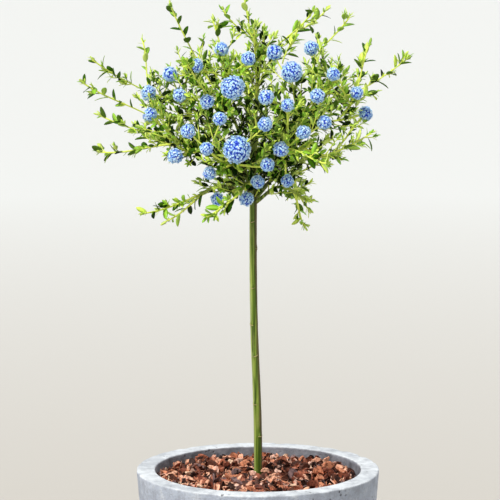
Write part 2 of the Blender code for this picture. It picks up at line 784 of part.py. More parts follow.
def grow_mass(plan, ends, space, looks, rng, solver):
    """One mass of foliage as one closed solid: stem, twigs, leaves and blooms."""
    name = f"foliage_{plan[0]}"
    twigs, blooms = grow(plan, ends, space)
    stem = object_from(tube(twigs[0].points, twigs[0].radii, TWIG_SIDES), name, *looks)
    pieces = [object_from(tube(twig.points, twig.radii, TWIG_SIDES), "twig", *looks) for twig in twigs[1:]]
    tips = {tuple(middle) for middle, _ in blooms}
    for twig in twigs:
        bears = tuple(twig.points[-1]) in tips
        for corners in leaves_on(twig, space, blooms, rng.uniform(0, math.tau), bears, rng):
            pieces.append(object_from(leaf_shape(corners), "leaf", *looks))
    for middle, radius in blooms:
        way = (middle - HEART).normalized()
        pieces.append(object_from(bloom_shape(middle, radius, way), "bloom", *looks))
    fuse(stem, pieces, solver)
    return stem


def make_mass(plan, ends, space, looks, rng):
    """Grows the mass, and grows it again with other leaves where two of them only just touch."""
    for solver in SOLVERS:
        mass = grow_mass(plan, ends, space, looks, rng, solver)
        if sound(mass):
            return
        bpy.data.objects.remove(mass)


def make_masses(plans, looks):
    rng = random.Random(SEED)
    ways = [way for _, way, _, _ in plans]
    limb_points, limb_radii = limb_samples(plans)
    spaces = [Space(i, ways, limb_points, limb_radii) for i in range(len(plans))]
    ends = bloom_ends(rng) + [(end, 0.0) for end in shoot_ends()]
    ends += [(end, 0.0) for end in leafy_ends([end for end, _ in ends], rng)]
    shares = [[] for _ in plans]
    for end, radius in ends:
        nearest = max(range(len(ways)), key=lambda i: (end - HEART).dot(ways[i]))
        shares[nearest].append((end, radius))
    for plan, share, space in zip(plans, shares, spaces):
        make_mass(plan, share, space, looks, rng)


def main():
    clear_scene()
    stone = material("pot_stone", (0.50, 0.51, 0.53), 0.85)
    earth = material("soil", (0.045, 0.030, 0.020), 0.95)
    chips = material("bark_mulch", (0.30, 0.13, 0.075), 0.80)
    bark = material("green_bark", (0.20, 0.30, 0.05), 0.55)
    leaf = material("leaf", (0.11, 0.20, 0.035), 0.45)
    bloom = material("bloom", (0.11, 0.20, 0.72), 0.70)
    trunk_cutter = as_cutter(make_trunk("trunk_cutter", TRUNK_CLEARANCE))
    make_pot(stone)
    make_soil(earth)
    make_mulch(chips, trunk_cutter)
    make_trunk("trunk", 0.0, bark)
    plans = plan_boughs()
    make_boughs(plans, bark, trunk_cutter)
    make_masses(plans, (leaf, bloom))


main()
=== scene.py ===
"""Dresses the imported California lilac: bark, twigs, leaves, flower heads, bark chips and the stone pot."""

import math
import random

import bmesh
import bpy
import numpy as np
from mathutils import Matrix, Vector, noise


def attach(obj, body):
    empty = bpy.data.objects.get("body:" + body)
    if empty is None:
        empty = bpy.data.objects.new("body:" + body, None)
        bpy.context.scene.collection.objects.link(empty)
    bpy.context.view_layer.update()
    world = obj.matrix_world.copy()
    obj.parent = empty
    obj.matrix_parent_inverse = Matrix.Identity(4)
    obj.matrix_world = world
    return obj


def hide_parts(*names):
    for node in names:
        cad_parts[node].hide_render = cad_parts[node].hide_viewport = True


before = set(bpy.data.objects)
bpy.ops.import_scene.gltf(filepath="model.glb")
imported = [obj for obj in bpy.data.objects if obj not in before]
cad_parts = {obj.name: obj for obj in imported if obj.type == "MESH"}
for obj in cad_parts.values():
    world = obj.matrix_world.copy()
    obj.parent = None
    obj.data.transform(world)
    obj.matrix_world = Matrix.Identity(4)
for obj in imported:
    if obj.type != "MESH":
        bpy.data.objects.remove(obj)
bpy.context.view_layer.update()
BODY = "root"
SEED = 11
GOLDEN_ANGLE = math.pi * (3 - math.sqrt(5))

# ---- camera and light
CAMERA_PLACE = (-0.0132, -3.990, 1.279)
CAMERA_DROP = math.radians(7.646)
LENS = 177.5
FLOOR_REACH = 400.0
FLOOR_NEAR = (0.50, 0.475, 0.43)
FLOOR_FAR = (0.655, 0.665, 0.65)
SKY_TINT = (0.96, 0.98, 1.0)
SKY_FADE = (0.10, 0.36)
SKY_STRENGTHS = (0.93, 0.41)
# name, place that it shines from, its width in radians, strength and colour
SUNS = (
    ("key", (-1.7, -1.9, 2.9), 0.30, 3.45, (1.0, 0.98, 0.95)),
    ("back", (2.0, 1.9, 1.8), 0.6, 0.85, (0.95, 0.97, 1.0)),
)

# ---- pot, as in the part's source
POT_HEIGHT = 0.380
RIM_RADIUS = 0.200
RIM_WIDTH = 0.0305
LIP_OUTER_ROUND = 0.0024
LIP_INNER_ROUND = 0.003
BAND_HEIGHT = 0.128
BAND_TAPER = math.radians(4.5)
BAND_OVERHANG = 0.018
BODY_WALL = 0.018
FOOT_RADIUS = 0.140
FOOT_CHAMFER = 0.004
POT_FLOOR = 0.022
DRAIN_HOLES = 4
DRAIN_RADIUS = 0.009
DRAIN_CIRCLE = 0.075

# ---- the pot's finer shape and wear
DRAIN_SIDES = 32
POT_SEGMENTS = 224
BAND_FOOT_ROUND = 0.004
POT_SWELLS = ((14.0, 0.0007), (60.0, 0.0003))  # noise scale and depth of the walls' unevenness
RIM_SWELL = (150.0, 0.0003)
RIM_DROP = (70.0, 0.0003)
WORN_DEPTH = 0.012  # how far below the rim its skin is rough
NICK_SCALE = 48.0
NICK_SHIFT = Vector((3.1, 0, 0))
NICK_LEVEL = 0.22  # the rim is nicked where the noise is above this
NICK_INSET = 0.003  # nicks are deepest this far in from the rim's outer edge
NICK_REACH = 0.009
NICK_SINK = 0.009
NICK_DROP = 0.007
NICK_OVER = 0.0004  # the most that the worn rim stands over the pot's height
# from this height up the rim's top is painted pale, as painted light falling from above
PAINTED_TOP_LIGHT_FROM = 0.3768
INSIDE_DARK_FROM = 0.30
INSIDE_DARK_REACH = RIM_RADIUS - RIM_WIDTH + 0.0012

# ---- mulch
GROUND = 0.339
MULCH_EDGE = 0.362
MULCH_MOUND = 0.369
MULCH_FIELD = 0.149
MULCH_TOP = 0.3795
WALL_GAP = 0.0006
BED_DROP = 0.006
BED_BUMPS = (90.0, 0.0022)
BED_RINGS = 40
BED_SIDES = 96
TRUNK_CLEAR = 0.0085
CHIPS = 1650
CHIP_FIELD = 0.166
CHIP_WALL_GAP = 0.0016
CHIP_STRAY = 0.4  # radians that chips stray from their turn about the pot
ALONG_WALL_FROM = 0.150  # chips beyond this reach lie along the wall
WALL_STRAY = 0.5
TRUNK_CLEAR_SHARE = 0.35  # share of its width that a chip keeps clear of the trunk as well
CHIP_LENGTHS = (0.0115, 0.0225)
CHIP_BREADTHS = (0.42, 0.72)  # as a share of the length
CHIP_THICKNESSES = (0.0010, 0.0022)
CHIP_TILTS = (0.60, 0.90)  # how much chips are tipped lengthways and sideways, in radians
CHIP_SINK = 0.006
CHIP_CURLS = (0.25, 0.95)  # curl across a chip, as a share of its width
CHIP_BENDS = (-0.14, 0.20)  # bend along it, as a share of its length
CHIP_SKEW = 0.08
CHIP_RAGGED = (0.86, 1.08)
CHIP_STATIONS = ((-0.5, 0.48), (-0.24, 0.96), (0.22, 1.0), (0.5, 0.54))  # place along a chip, breadth there
# name, share of the chips, colour
CHIP_TINTS = (
    ("rust", 0.13, (0.43, 0.140, 0.078)),
    ("red", 0.14, (0.23, 0.066, 0.037)),
    ("brown", 0.17, (0.110, 0.038, 0.023)),
    ("dark", 0.16, (0.042, 0.016, 0.011)),
    ("tan", 0.16, (0.98, 0.52, 0.34)),
    ("copper", 0.10, (0.66, 0.26, 0.140)),
    ("pink", 0.08, (0.92, 0.56, 0.43)),
    ("mauve", 0.06, (0.24, 0.150, 0.145)),
    ("pale", 0.03, (0.95, 0.66, 0.46)),
)

# ---- trunk and boughs, as in the part's source
TRUNK_TOP = 0.905
TRUNK_BACK = 0.010
TRUNK_LEAN = -0.0065
TRUNK_LEAN_HEIGHT = 0.640
TRUNK_SWAY = 0.0016
TRUNK_DRIFT = 0.004
FLARE_RADIUS = 0.0098
FLARE_HEIGHT = 0.040
TRUNK_FOOT_RADIUS = 0.0069
TRUNK_WAIST_RADIUS = 0.0060
TRUNK_TIP_RADIUS = 0.0036
CROWN_BASE = 0.815
TIP_HEIGHTS = (0.860, 0.880, TRUNK_TOP)
# height of each leaf scar, the azimuth that it faces, and how much higher its far end is than its near one
LEAF_SCARS = (
    (0.433, -52, 0.0012), (0.487, -125, -0.0022), (0.568, -88, 0.0034), (0.620, -138, -0.0030),
    (0.681, -104, 0.0010), (0.745, -14, -0.0020), (0.790, -108, 0.0016),
)
SCAR_SPREAD = 0.66  # radians that a scar reaches round the stem to either side
BOUGH_RINGS = (
    ("low", 5, 186.0, -16.0, 0.820, 0.058),
    ("mid", 6, 8.0, 18.0, 0.836, 0.066),
    ("high", 5, 24.0, 50.0, 0.860, 0.070),
)
RISE_SWING = 5.0
FORK_STEP = 0.002
BOUGH_SPACING = 0.0012
BOUGH_FOOT_RADIUS = 0.0032
BOUGH_TIP_RADIUS = 0.0024
BOUGH_STEPS = 4
BOUGH_RISE = 0.35
BOUGH_PULL = 0.35

# ---- crown, as in the part's source
HEART = Vector((-0.0065, 0.006, 0.868))
SHELL_LEVEL = 0.985
SHELL_RADIUS = 0.188
SHELL_RISE = 0.118
SHELL_DROP = 0.145
SKIRT_LEVEL = 0.862
SKIRT_RADIUS = 0.092
SKIRT_DEPTH = 0.046
LEFT_SHOOTS = (
    (-31, 0.179), (-18, 0.191), (8, 0.261), (18, 0.278), (30, 0.317),
    (35, 0.327), (48, 0.287), (64, 0.309), (80, 0.276), (87, 0.292),
)
RIGHT_SHOOTS = (
    (-44, 0.122), (-34, 0.116), (9, 0.161), (21, 0.206), (32, 0.246), (37, 0.319),
    (49, 0.287), (58, 0.303), (67, 0.295), (71, 0.288), (86, 0.242),
)
NEAR_AND_FAR_SHOOTS = ((-20, 0.165), (10, 0.235), (26, 0.270), (42, 0.290), (60, 0.285), (76, 0.262))
SHOOT_SPREAD = 26.0
TUFT_REACH = 0.016
LEAFY_TRIES = 150
LEAFY_SPAN = 1.55  # height over which the tries are spread on a ball of radius 1, from its top
LEAFY_SPACING = 0.064
LEAFY_REACH = (0.86, 1.02)
BLOOM_TIERS = (
    (1.076, (-0.058, 0.084)),
    (1.072, (0.025,)),
    (1.063, (-0.016,)),
    (1.051, (-0.098,)),
    (1.037, (-0.139, 0.118)),
    (1.006, (-0.174, -0.123, 0.012, 0.092, 0.156)),
    (0.998, (-0.080,)),
    (0.993, (0.045,)),
    (0.972, (-0.171, -0.060, 0.171)),
    (0.964, (0.010, 0.103)),
    (0.950, (-0.110, 0.070)),
    (0.923, (-0.081, 0.035)),
    (0.906, (-0.132,)),
    (0.897, (0.014,)),
    (0.880, (-0.077,)),
    (0.866, (-0.001, 0.046)),
    (0.835, (-0.019,)),
    (0.828, (-0.066,)),
)
BIG_BLOOMS = ((-0.040, 1.020, 0.0205), (0.052, 1.043, 0.0180), (-0.033, 0.923, 0.0240))
BLOOM_RADII = (0.0110, 0.0134)
FAR_TIERS = 10
FAR_SHIFT = 0.003
FLANK_FROM = 0.115
FLANK_DEPTH = 0.030
BACK_SPREAD = 0.26
BACK_DROP = 0.075
STEM_REACH = 0.135
STEM_SHARE = 1.2
STEM_BUTT = 0.003
TWIG_FOOT_RADIUS = 0.0016
TWIG_TIP_RADIUS = 0.0010
TWIG_STEPS = 3
TWIG_PULL = 0.34
FORK_SHARES = (0.15, 0.6)
FORK_TRIES = 16
FORK_OUTWARD = 0.5
FORK_RISE = 0.25
FORK_FOLLOW = 0.7
FORK_THINNING = 0.85
LEAST_TWIG = 0.02
BARE_STEM = 0.008
CELL_MARGIN = 0.0004
LIMB_MARGIN = 0.0010
LIMB_SAMPLES = 60
LIMB_FROM = 0.72
LEAF_TURN = math.radians(137.5)
GAP = 0.0003

# ---- finer bark
TRUNK_SIDES = 40
TRUNK_RINGS = 260
TRUNK_RELIEF = 0.00022
BOUGH_SIDES = 14
BOUGH_PIECES = 24
BOUGH_RELIEF = 0.00014
BOUGH_FLARE = 0.35
FLARED_PIECES = 7
# of a scar's swelling and of its bud's: depth, narrowness, height above the scar and half height
SCAR_SWELLS = ((0.0008, 2, 0.0, 0.0026), (0.0007, 10, 0.0035, 0.0028))
SCAR_RADIUS = 0.00062
SCAR_SAG = 0.0010
SCAR_STANDS_OUT = 0.00005
SCAR_TINT = (0.46, 0.38, 0.17)

# ---- side twigs
FINE_STEPS = 10
SIDE_STEPS = 5
SIDE_SPACING = 0.0080
SIDE_SPREAD = (0.75, 1.3)
FIRST_SIDE = (0.3, 0.9)  # where the first one stands, as a share of their spacing
# share of the way along the trunk's top, a bough and a twig from which side twigs grow
TOP_SIDES_FROM, BOUGH_SIDES_FROM, TWIG_SIDES_FROM = 0.1, 0.40, 0.08
HEART_REACH = 0.72  # up to this depth in the crown side twigs stand closer
HEART_SPACING = 0.78
SIDE_BARE_TIP = 0.008
SIDE_FOOT_RADIUS = 0.00110
SIDE_TIP_RADIUS = 0.00070
TWIG_FULLNESS = 1.35  # main twigs are drawn this much thicker than the source's three-sided ones
SIDE_OPENING = math.radians(48)
SIDE_LIFT = 0.40
SIDE_OUTWARD = 0.35
SIDE_PULL = 0.35
# share of the way to the shell below which they hold, shortest and longest side twig, how many of them grow
SIDE_ZONES = (
    (0.45, 0.024, 0.044, 1.0),
    (0.80, 0.028, 0.060, 1.0),
    (1.0, 0.020, 0.044, 0.84),
    (9.0, 0.008, 0.018, 0.40),
)
SIDE_FARTHEST = 1.06  # side twigs that start inside the shell end within this share of the way to it
OPEN_TOP = 1.035  # from this height up, that share of the side twigs outside the heart is left out
OPEN_SHARE = 0.50
OPEN_DEPTH = 0.5
LONG_SHOOT_DEPTH = 1.05  # twigs that end beyond this depth are long shoots
LEADER = 0.010  # a long shoot's leaves are short, so its twig carries on this far
BLOOM_CLEAR = 0.002  # no leaf or tip stands nearer to a bloom than this
BLOOM_VIEW = 0.09  # and none within this distance before its open side
BLOOM_VIEW_MARGIN = 0.0015
BLOOM_FRONT = 1.4  # how much that side faces the front or the back, against outward
BLOOM_UP = 0.2

# ---- leaves
LEAF_SPACING = 0.0071
LEAF_SPREADS = (0.75, 1.3)
FIRST_LEAF = (0.2, 0.8)
SHOOT_LEAF_SPREAD = 1.55  # leaves stand this much further apart on a long shoot outside the crown
MAIN_LEAF_SPREAD = 1.7  # and this much on a main twig inside it
BARE_SHARES = (0.16, 0.30)  # share of a side twig and of a main twig that is bare at its foot
LEAF_LENGTHS = (0.0125, 0.0205)
OUTER_LEAF = 1.22  # leaves on the long shoots are this much longer
LEAF_TAPER = 0.25
LEAF_WIDTH = 0.46
LEAF_OPENING = math.radians(52)
LEAF_OPENINGS = (0.75, 1.2)
LEAF_STRAY = 0.25
LEAF_LIFTS = (-0.25, 0.20)
LEAF_FACING = (0.7, 0.55, 0.35)  # how much a leaf faces its twig's tip, the sky and out of the crown
LEAF_TWIST = 0.32
LEAF_BREADTHS = (0.85, 1.15)
LEAF_MIDDLE = 0.6  # share of its length at which a leaf is tested for hiding a bloom
SPUR_LENGTHS = (0.0065, 0.0105)
SPUR_LEAVES = (1, 2, 3)  # leaves of a spur beside each leaf of a long shoot
SPUR_OPENINGS = (0.35, 0.9)
SPUR_STRAY = 1.1
TIP_LEAVES = 5
TIP_LEAF_STEP = 0.0012
TIP_LEAF_OPENING = 0.20  # each leaf of a tuft opens wider than the one above it by this share
TIP_LEAF_LENGTHS = (0.0085, 0.0140)
TIP_LEAF_WIDTH = 0.37
LEAF_ROUGHNESS = 0.40
UNDER_ROUGHNESS = 0.70
UNDER_GLOSS = 0.10
YOUNG_GLOSS = 0.40
OLD_GLOSS = 0.04
# place along a leaf, half width there, and height
LEAF_STATIONS = (
    (0.10, 0.44, 0.012), (0.28, 0.88, 0.030), (0.52, 1.0, 0.036), (0.76, 0.80, 0.018), (0.93, 0.40, -0.010)
)
LEAF_FOLD = 0.045
LEAF_THICKNESS = 0.014
# colour of the upper side and of the under side, specular level of the upper side
# the darkest tint is painted shade for leaves far inside the crown; the dark tint is partly older leaves' own
# green and partly painted shade
LEAF_TINTS = {
    "darkest_shade": ((0.007, 0.023, 0.001), (0.018, 0.042, 0.003), OLD_GLOSS),
    "dark": ((0.040, 0.118, 0.003), (0.090, 0.180, 0.018), OLD_GLOSS),
    "mid": ((0.290, 0.560, 0.030), (0.380, 0.590, 0.085), YOUNG_GLOSS),
    "fresh": ((0.70, 0.90, 0.120), (0.75, 0.91, 0.22), YOUNG_GLOSS),
}
# depth in the crown below which each row holds, and the shares up to which a leaf is in the darkest, dark or
# mid tint; the darker tints inside are painted shade
TINT_ZONES = ((0.62, 0.62, 0.82, 0.96), (0.88, 0.30, 0.58, 0.88), (math.inf, 0.05, 0.46, 0.84))
TIP_TINT = (0.6, 0.62)  # depth from which a tuft is young, share of its leaves that are fresh
GREEN_DEPTH = 0.5  # side twigs from within this depth are green
GREEN_SHARE = 0.3  # and this share of the others
TWIG_TINTS = (("bright", (0.72, 0.82, 0.110)), ("green", (0.28, 0.36, 0.050)))

# ---- blooms
CORE_SHARE = 0.76  # a core's radius, as a share of its bloom's
# the cores' dark blue is painted shade in the gaps between the florets
CORE_SHADE_TINT = (0.030, 0.070, 0.52)
FLORET_RADIUS = 0.0024
FLORET_SIZES = (0.68, 1.05)
FLORET_COVER = 1.44  # area of a bloom's florets, as a share of the bloom's own
FLORET_STAND = (0.73, 0.93)  # how far out florets stand, as shares of the bloom's radius
FLORET_LUMPS = 0.13
FLORET_STRAY = 0.1  # radians off the golden angle's turn
FLORET_JITTER = 0.06  # and off its even spread
FLORET_TILT = 0.14
# florets standing further in get darker blues as painted shade, the outermost the palest as painted light
FLORET_SHADING = 0.45  # how much of a floret's tint follows from how far out it stands
# name, shade up to which it holds, colour
FLORET_TINTS = (
    ("light", 1.00, (0.74, 0.89, 1.0)),
    ("pale", 0.76, (0.52, 0.77, 1.0)),
    ("mid", 0.34, (0.27, 0.50, 1.0)),
    ("darkest_shade", 0.13, (0.070, 0.16, 0.88)),
)


# ======== meshes from arrays
def around(turn, radius=1.0, height=0.0):
    """The point at that turn, radius and height about the Z axis."""
    return Vector((math.cos(turn) * radius, math.sin(turn) * radius, height))


def sideways(along, turn):
    """A direction square to another one, turned about it."""
    return Matrix.Rotation(turn, 3, along) @ along.orthogonal().normalized()


def jitter(rng, spread):
    return Vector([rng.gauss(0, spread) for _ in range(3)])


def placed(name, data):
    made = bpy.data.objects.new(name, data)
    bpy.context.scene.collection.objects.link(made)
    return made


def mesh_object(name, verts, faces, look, smooth, slot, under=None, under_faces=()):
    """A ridden object from corners and triangles; the under_faces wear the second material, under."""
    verts = np.asarray(verts, np.float32)
    faces = np.asarray(faces, np.int32)
    looks = np.repeat(np.array((0, 1), np.int32), (len(faces), len(under_faces)))
    if under:
        faces = np.concatenate([faces, np.asarray(under_faces, np.int32)])
    mesh = bpy.data.meshes.new(name)
    mesh.vertices.add(len(verts))
    mesh.vertices.foreach_set("co", verts.ravel())
    mesh.loops.add(faces.size)
    mesh.loops.foreach_set("vertex_index", faces.ravel())
    mesh.polygons.add(len(faces))
    mesh.polygons.foreach_set("loop_start", np.arange(0, faces.size, faces.shape[1], dtype=np.int32))
    mesh.polygons.foreach_set("use_smooth", np.full(len(faces), smooth))
    for each in (look, under) if under else (look,):
        mesh.materials.append(each)
    mesh.polygons.foreach_set("material_index", looks)
    mesh.update()
    mesh.validate()
    obj = placed(name, mesh)
    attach(obj, BODY)
    return obj


class Batch:
    """Corners and triangles of many small shapes, on their way to one mesh."""

    def __init__(self):
        self.verts, self.faces, self.count = [], [], 0

    def add(self, verts, faces):
        self.verts.append(np.asarray(verts, np.float32))
        self.faces.append(np.asarray(faces, np.int32) + self.count)
        self.count += len(verts)

    def object(self, name, look, smooth, slot):
        return mesh_object(name, np.concatenate(self.verts), np.concatenate(self.faces), look, smooth, slot)


def stamp(template, faces, rows):
    """Corners and faces of a template's copies, one for each row of an origin and three scaled axes."""
    rows = np.asarray(rows).reshape(-1, 4, 1, 3)
    x, y, z = (np.asarray(template, float)[None, :, axis, None] for axis in range(3))
    spots = rows[:, 0] + x * rows[:, 1] + y * rows[:, 2] + z * rows[:, 3]
    shift = (np.arange(len(rows)) * len(template))[:, None, None]
    return spots.reshape(-1, 3), (np.asarray(faces)[None, :, :] + shift).reshape(-1, 3)


def frames(points):
    """A direction and two cross directions at each point, carried along the line without twisting."""
    found = []
    across = None
    for i, point in enumerate(points):
        along = (points[min(i + 1, len(points) - 1)] - points[max(i - 1, 0)]).normalized()
        if across is None:
            across = along.orthogonal()
        across = (across - along * across.dot(along)).normalized()
        found.append((along, across, along.cross(across)))
    return found


def strip(rings, sides, first=0, flipped=False):
    """Triangles between each closed ring of corners and the next."""
    faces = []
    for ring in range(rings - 1):
        for i in range(sides):
            a, b = first + ring * sides + i, first + ring * sides + (i + 1) % sides
            c, d = a + sides, b + sides
            faces += [(a, c, d), (a, d, b)] if flipped else [(a, b, d), (a, d, c)]
    return faces


def closed_faces(rings, sides):
    """Triangles of a skin that runs from one corner over rings of corners to a last corner."""
    base = 1 + (rings - 1) * sides
    faces = [(0, 1 + i, 1 + (i + 1) % sides) for i in range(sides)]
    faces += strip(rings, sides, 1, True)
    return faces + [(base + sides, base + (i + 1) % sides, base + i) for i in range(sides)]


def tube_arrays(points, radii, sides, ridge=None):
    """Corners and triangles of a closed tube; ridge(step, turn, point) is what it adds to the radius."""
    verts = []
    for step, (point, radius, (_, across, up)) in enumerate(zip(points, radii, frames(points))):
        for i in range(sides):
            turn = math.tau * i / sides
            out = radius + ridge(step, turn, point) if ridge else radius
            verts.append(tuple(point + (across * math.cos(turn) + up * math.sin(turn)) * out))
    last = (len(points) - 1) * sides
    faces = strip(len(points), sides)
    faces += [(0, i + 1, i) for i in range(1, sides - 1)]
    faces += [(last, last + i, last + i + 1) for i in range(1, sides - 1)]
    return verts, faces


def ball(middle, radius, segments, rings):
    """Corners and triangles of a sphere."""
    verts = [tuple(middle + Vector((0, 0, radius)))]
    for j in range(1, rings):
        flat, up = math.sin(math.pi * j / rings), math.cos(math.pi * j / rings)
        verts += [tuple(middle + around(math.tau * i / segments, flat, up) * radius) for i in range(segments)]
    verts.append(tuple(middle - Vector((0, 0, radius))))
    return verts, closed_faces(rings - 1, segments)


# ======== materials
class Graph:
    """The nodes of a material or a sky, added by name and joined as they are made."""

    def __init__(self, owner):
        owner.use_nodes = True
        self.owner, self.tree = owner, owner.node_tree
        where = self.tree.nodes.new("ShaderNodeTexCoord")
        outputs = (where.outputs[name] for name in ("Object", "Normal", "Generated"))
        self.place, self.facing, self.sky = outputs

    def node(self, kind, **inputs):
        made = self.tree.nodes.new(kind)
        for key, value in inputs.items():
            self.join(value, made.inputs[key])
        return made

    def join(self, value, socket):
        if isinstance(value, bpy.types.NodeSocket):
            self.tree.links.new(value, socket)
        else:
            socket.default_value = value

    def stretched(self, scale):
        return self.node("ShaderNodeMapping", Vector=self.place, Scale=scale).outputs["Vector"]

    def noise(self, scale, detail=4.0, roughness=0.55, place=None):
        place = place or self.place
        made = self.node("ShaderNodeTexNoise", Scale=scale, Detail=detail, Roughness=roughness, Vector=place)
        return made.outputs["Fac"]

    def ramp(self, value, *stops):
        """A colour or grey ramp from (position, colour) stops."""
        made = self.node("ShaderNodeValToRGB", Fac=value)
        while len(made.color_ramp.elements) < len(stops):
            made.color_ramp.elements.new(0.5)
        for element, (position, colour) in zip(made.color_ramp.elements, stops):
            element.position = position
            element.color = (*colour, 1.0) if isinstance(colour, tuple) else (colour, colour, colour, 1.0)
        return made.outputs["Color"]

    def mix(self, share, first, second):
        """Two colours mixed. Colour sockets share their names with plain ones, so their type finds them."""
        made = self.tree.nodes.new("ShaderNodeMix")
        made.data_type = "RGBA"
        self.join(share, next(s for s in made.inputs if s.name == "Factor" and s.type == "VALUE"))
        for value, name in ((first, "A"), (second, "B")):
            socket = next(s for s in made.inputs if s.name == name and s.type == "RGBA")
            self.join((*value, 1.0) if isinstance(value, tuple) else value, socket)
        return next(s for s in made.outputs if s.type == "RGBA")

    def laid(self, base, colour, value, *stops):
        """A colour laid over a base by as much as the ramp of a value says."""
        return self.mix(self.ramp(value, *stops), base, colour)

    def parts(self, vector):
        """The X, Y and Z of a vector."""
        split = self.node("ShaderNodeSeparateXYZ", Vector=vector)
        return [split.outputs[axis] for axis in "XYZ"]

    def scaled(self, value, middle, slope):
        """How far a value is over the middle, times a slope."""
        return self.sums("MULTIPLY", self.sums("SUBTRACT", value, middle), slope)

    def sums(self, operation, first, second):
        made = self.tree.nodes.new("ShaderNodeMath")
        made.operation = operation
        self.join(first, made.inputs[0])
        self.join(second, made.inputs[1])
        return made.outputs[0]

    def finish(self, colour, roughness, height=None, depth=0.001, strength=0.6, specular=0.5):
        shader = self.tree.nodes["Principled BSDF"]
        self.join(colour, shader.inputs["Base Color"])
        self.join(roughness, shader.inputs["Roughness"])
        self.join(specular, shader.inputs["Specular IOR Level"])
        if height is not None:
            bump = self.node("ShaderNodeBump", Strength=strength, Distance=depth, Height=height)
            self.join(bump.outputs["Normal"], shader.inputs["Normal"])
        return self.owner


def plain(name, colour, roughness, specular=0.4):
    """One colour all over, for leaves, twigs and florets whose tints are dealt out piece by piece."""
    return Graph(bpy.data.materials.new(name)).finish((*colour, 1.0), roughness, specular=specular)


def pot_look():
    """Pale grey cast stone: clouded, pitted, with painted light making the rim's top lighter and painted
    shade making the inner wall darker.
    """
    g = Graph(bpy.data.materials.new("pot_cast_stone"))
    cloud = g.noise(7.0, 6.0, 0.62)
    mottle = g.noise(42.0, 5.0, 0.62)
    fine = g.noise(210.0, 3.0, 0.6)
    x, y, up = g.parts(g.place)
    base = g.ramp(
        cloud, (0.32, (0.325, 0.360, 0.430)), (0.52, (0.400, 0.440, 0.515)), (0.70, (0.500, 0.540, 0.610))
    )
    base = g.laid(base, (0.25, 0.26, 0.30), mottle, (0.36, 0.55), (0.52, 0.0))
    base = g.laid(base, (0.66, 0.68, 0.70), mottle, (0.56, 0.0), (0.70, 0.45))
    base = g.laid(base, (0.24, 0.25, 0.28), fine, (0.34, 0.45), (0.55, 0.0))
    # painted light: the rim's top painted pale, as if lit from above, with an uneven edge
    top = g.laid((0.74, 0.775, 0.81), (0.42, 0.44, 0.47), mottle, (0.36, 0.6), (0.56, 0.0))
    top = g.laid(top, (0.42, 0.45, 0.49), g.noise(17.0, 5.0, 0.65), (0.38, 0.7), (0.52, 0.0))
    top_light_mask = g.sums("ADD", g.scaled(up, PAINTED_TOP_LIGHT_FROM, 260.0), g.scaled(mottle, 0.5, 1.6))
    base = g.laid(base, top, top_light_mask, (0.0, 0.0), (0.7, 0.9))
    # the shaded inner wall
    reach = g.sums("POWER", g.sums("ADD", g.sums("MULTIPLY", x, x), g.sums("MULTIPLY", y, y)), 0.5)
    near = g.ramp(g.scaled(reach, INSIDE_DARK_REACH, -700.0), (0.0, 0.0), (1.0, 0.92))
    high = g.ramp(g.scaled(up, INSIDE_DARK_FROM, 100.0), (0.0, 0.0), (1.0, 1.0))
    wall = g.laid((0.070, 0.070, 0.082), (0.23, 0.23, 0.26), mottle, (0.36, 0.0), (0.66, 1.0))
    base = g.mix(g.sums("MULTIPLY", near, high), base, wall)
    # pits, in scattered patches
    cells = g.node("ShaderNodeTexVoronoi", Scale=105.0, Vector=g.place)
    pits = g.ramp(cells.outputs["Distance"], (0.12, 1.0), (0.26, 0.0))
    pits = g.sums("MULTIPLY", pits, g.ramp(g.noise(24.0, 2.0), (0.56, 0.0), (0.62, 1.0)))
    base = g.mix(g.sums("MULTIPLY", pits, 0.8), base, (0.09, 0.09, 0.10))
    height = g.sums("ADD", fine, g.sums("MULTIPLY", mottle, 1.4))
    height = g.sums("SUBTRACT", height, g.sums("MULTIPLY", pits, 1.5))
    return g.finish(base, g.ramp(fine, (0.3, 0.70), (0.7, 0.92)), height, 0.0016, 0.9)


def bark_look(name, old):
    """Green bark in long stripes, browned in patches if old, else red-brown as painted shade on the side
    facing +X, away from the key light, and pale as painted light on the side facing it.
    """
    g = Graph(bpy.data.materials.new(name))
    stripe = g.noise(430.0, 2.0, 0.45, g.stretched((1.0, 1.0, 0.016)))
    blotch = g.noise(46.0, 4.0, 0.55, g.stretched((1.0, 1.0, 0.4)))
    base = g.ramp(
        stripe, (0.36, (0.030, 0.060, 0.002)), (0.50, (0.085, 0.145, 0.006)), (0.64, (0.26, 0.33, 0.050))
    )
    base = g.laid(base, (0.30, 0.30, 0.085), blotch, (0.54, 0.0), (0.72, 0.5))
    if old:
        base = g.laid(base, (0.105, 0.062, 0.030), g.noise(34.0, 3.0), (0.42, 0.0), (0.62, 0.75))
    else:
        # painted shade: red-brown laid on the side that faces +X, away from the key light
        side = g.sums("ADD", g.parts(g.facing)[0], g.scaled(blotch, 0.5, 0.9))
        base = g.laid(base, (0.110, 0.072, 0.024), side, (0.40, 0.0), (0.72, 0.80))
        # painted light: pale laid on the side that faces -X, towards the key light
        away = g.sums("MULTIPLY", side, -1.0)
        base = g.laid(base, (0.36, 0.42, 0.14), away, (0.55, 0.0), (0.90, 0.75))
    height = g.sums("ADD", stripe, g.sums("MULTIPLY", blotch, 0.5))
    return g.finish(base, g.ramp(blotch, (0.3, 0.40), (0.7, 0.6)), height, 0.0005, 0.6, 0.3)


def chip_look(name, colour):
    """Bark or cork in one colour, darker in its grain."""
    g = Graph(bpy.data.materials.new(name))
    grain = g.noise(230.0, 4.0, 0.6)
    base = g.ramp(grain, (0.36, tuple(0.26 * part for part in colour)), (0.54, colour))
    return g.finish(base, 0.62, grain, 0.0006, 0.5, 0.2)


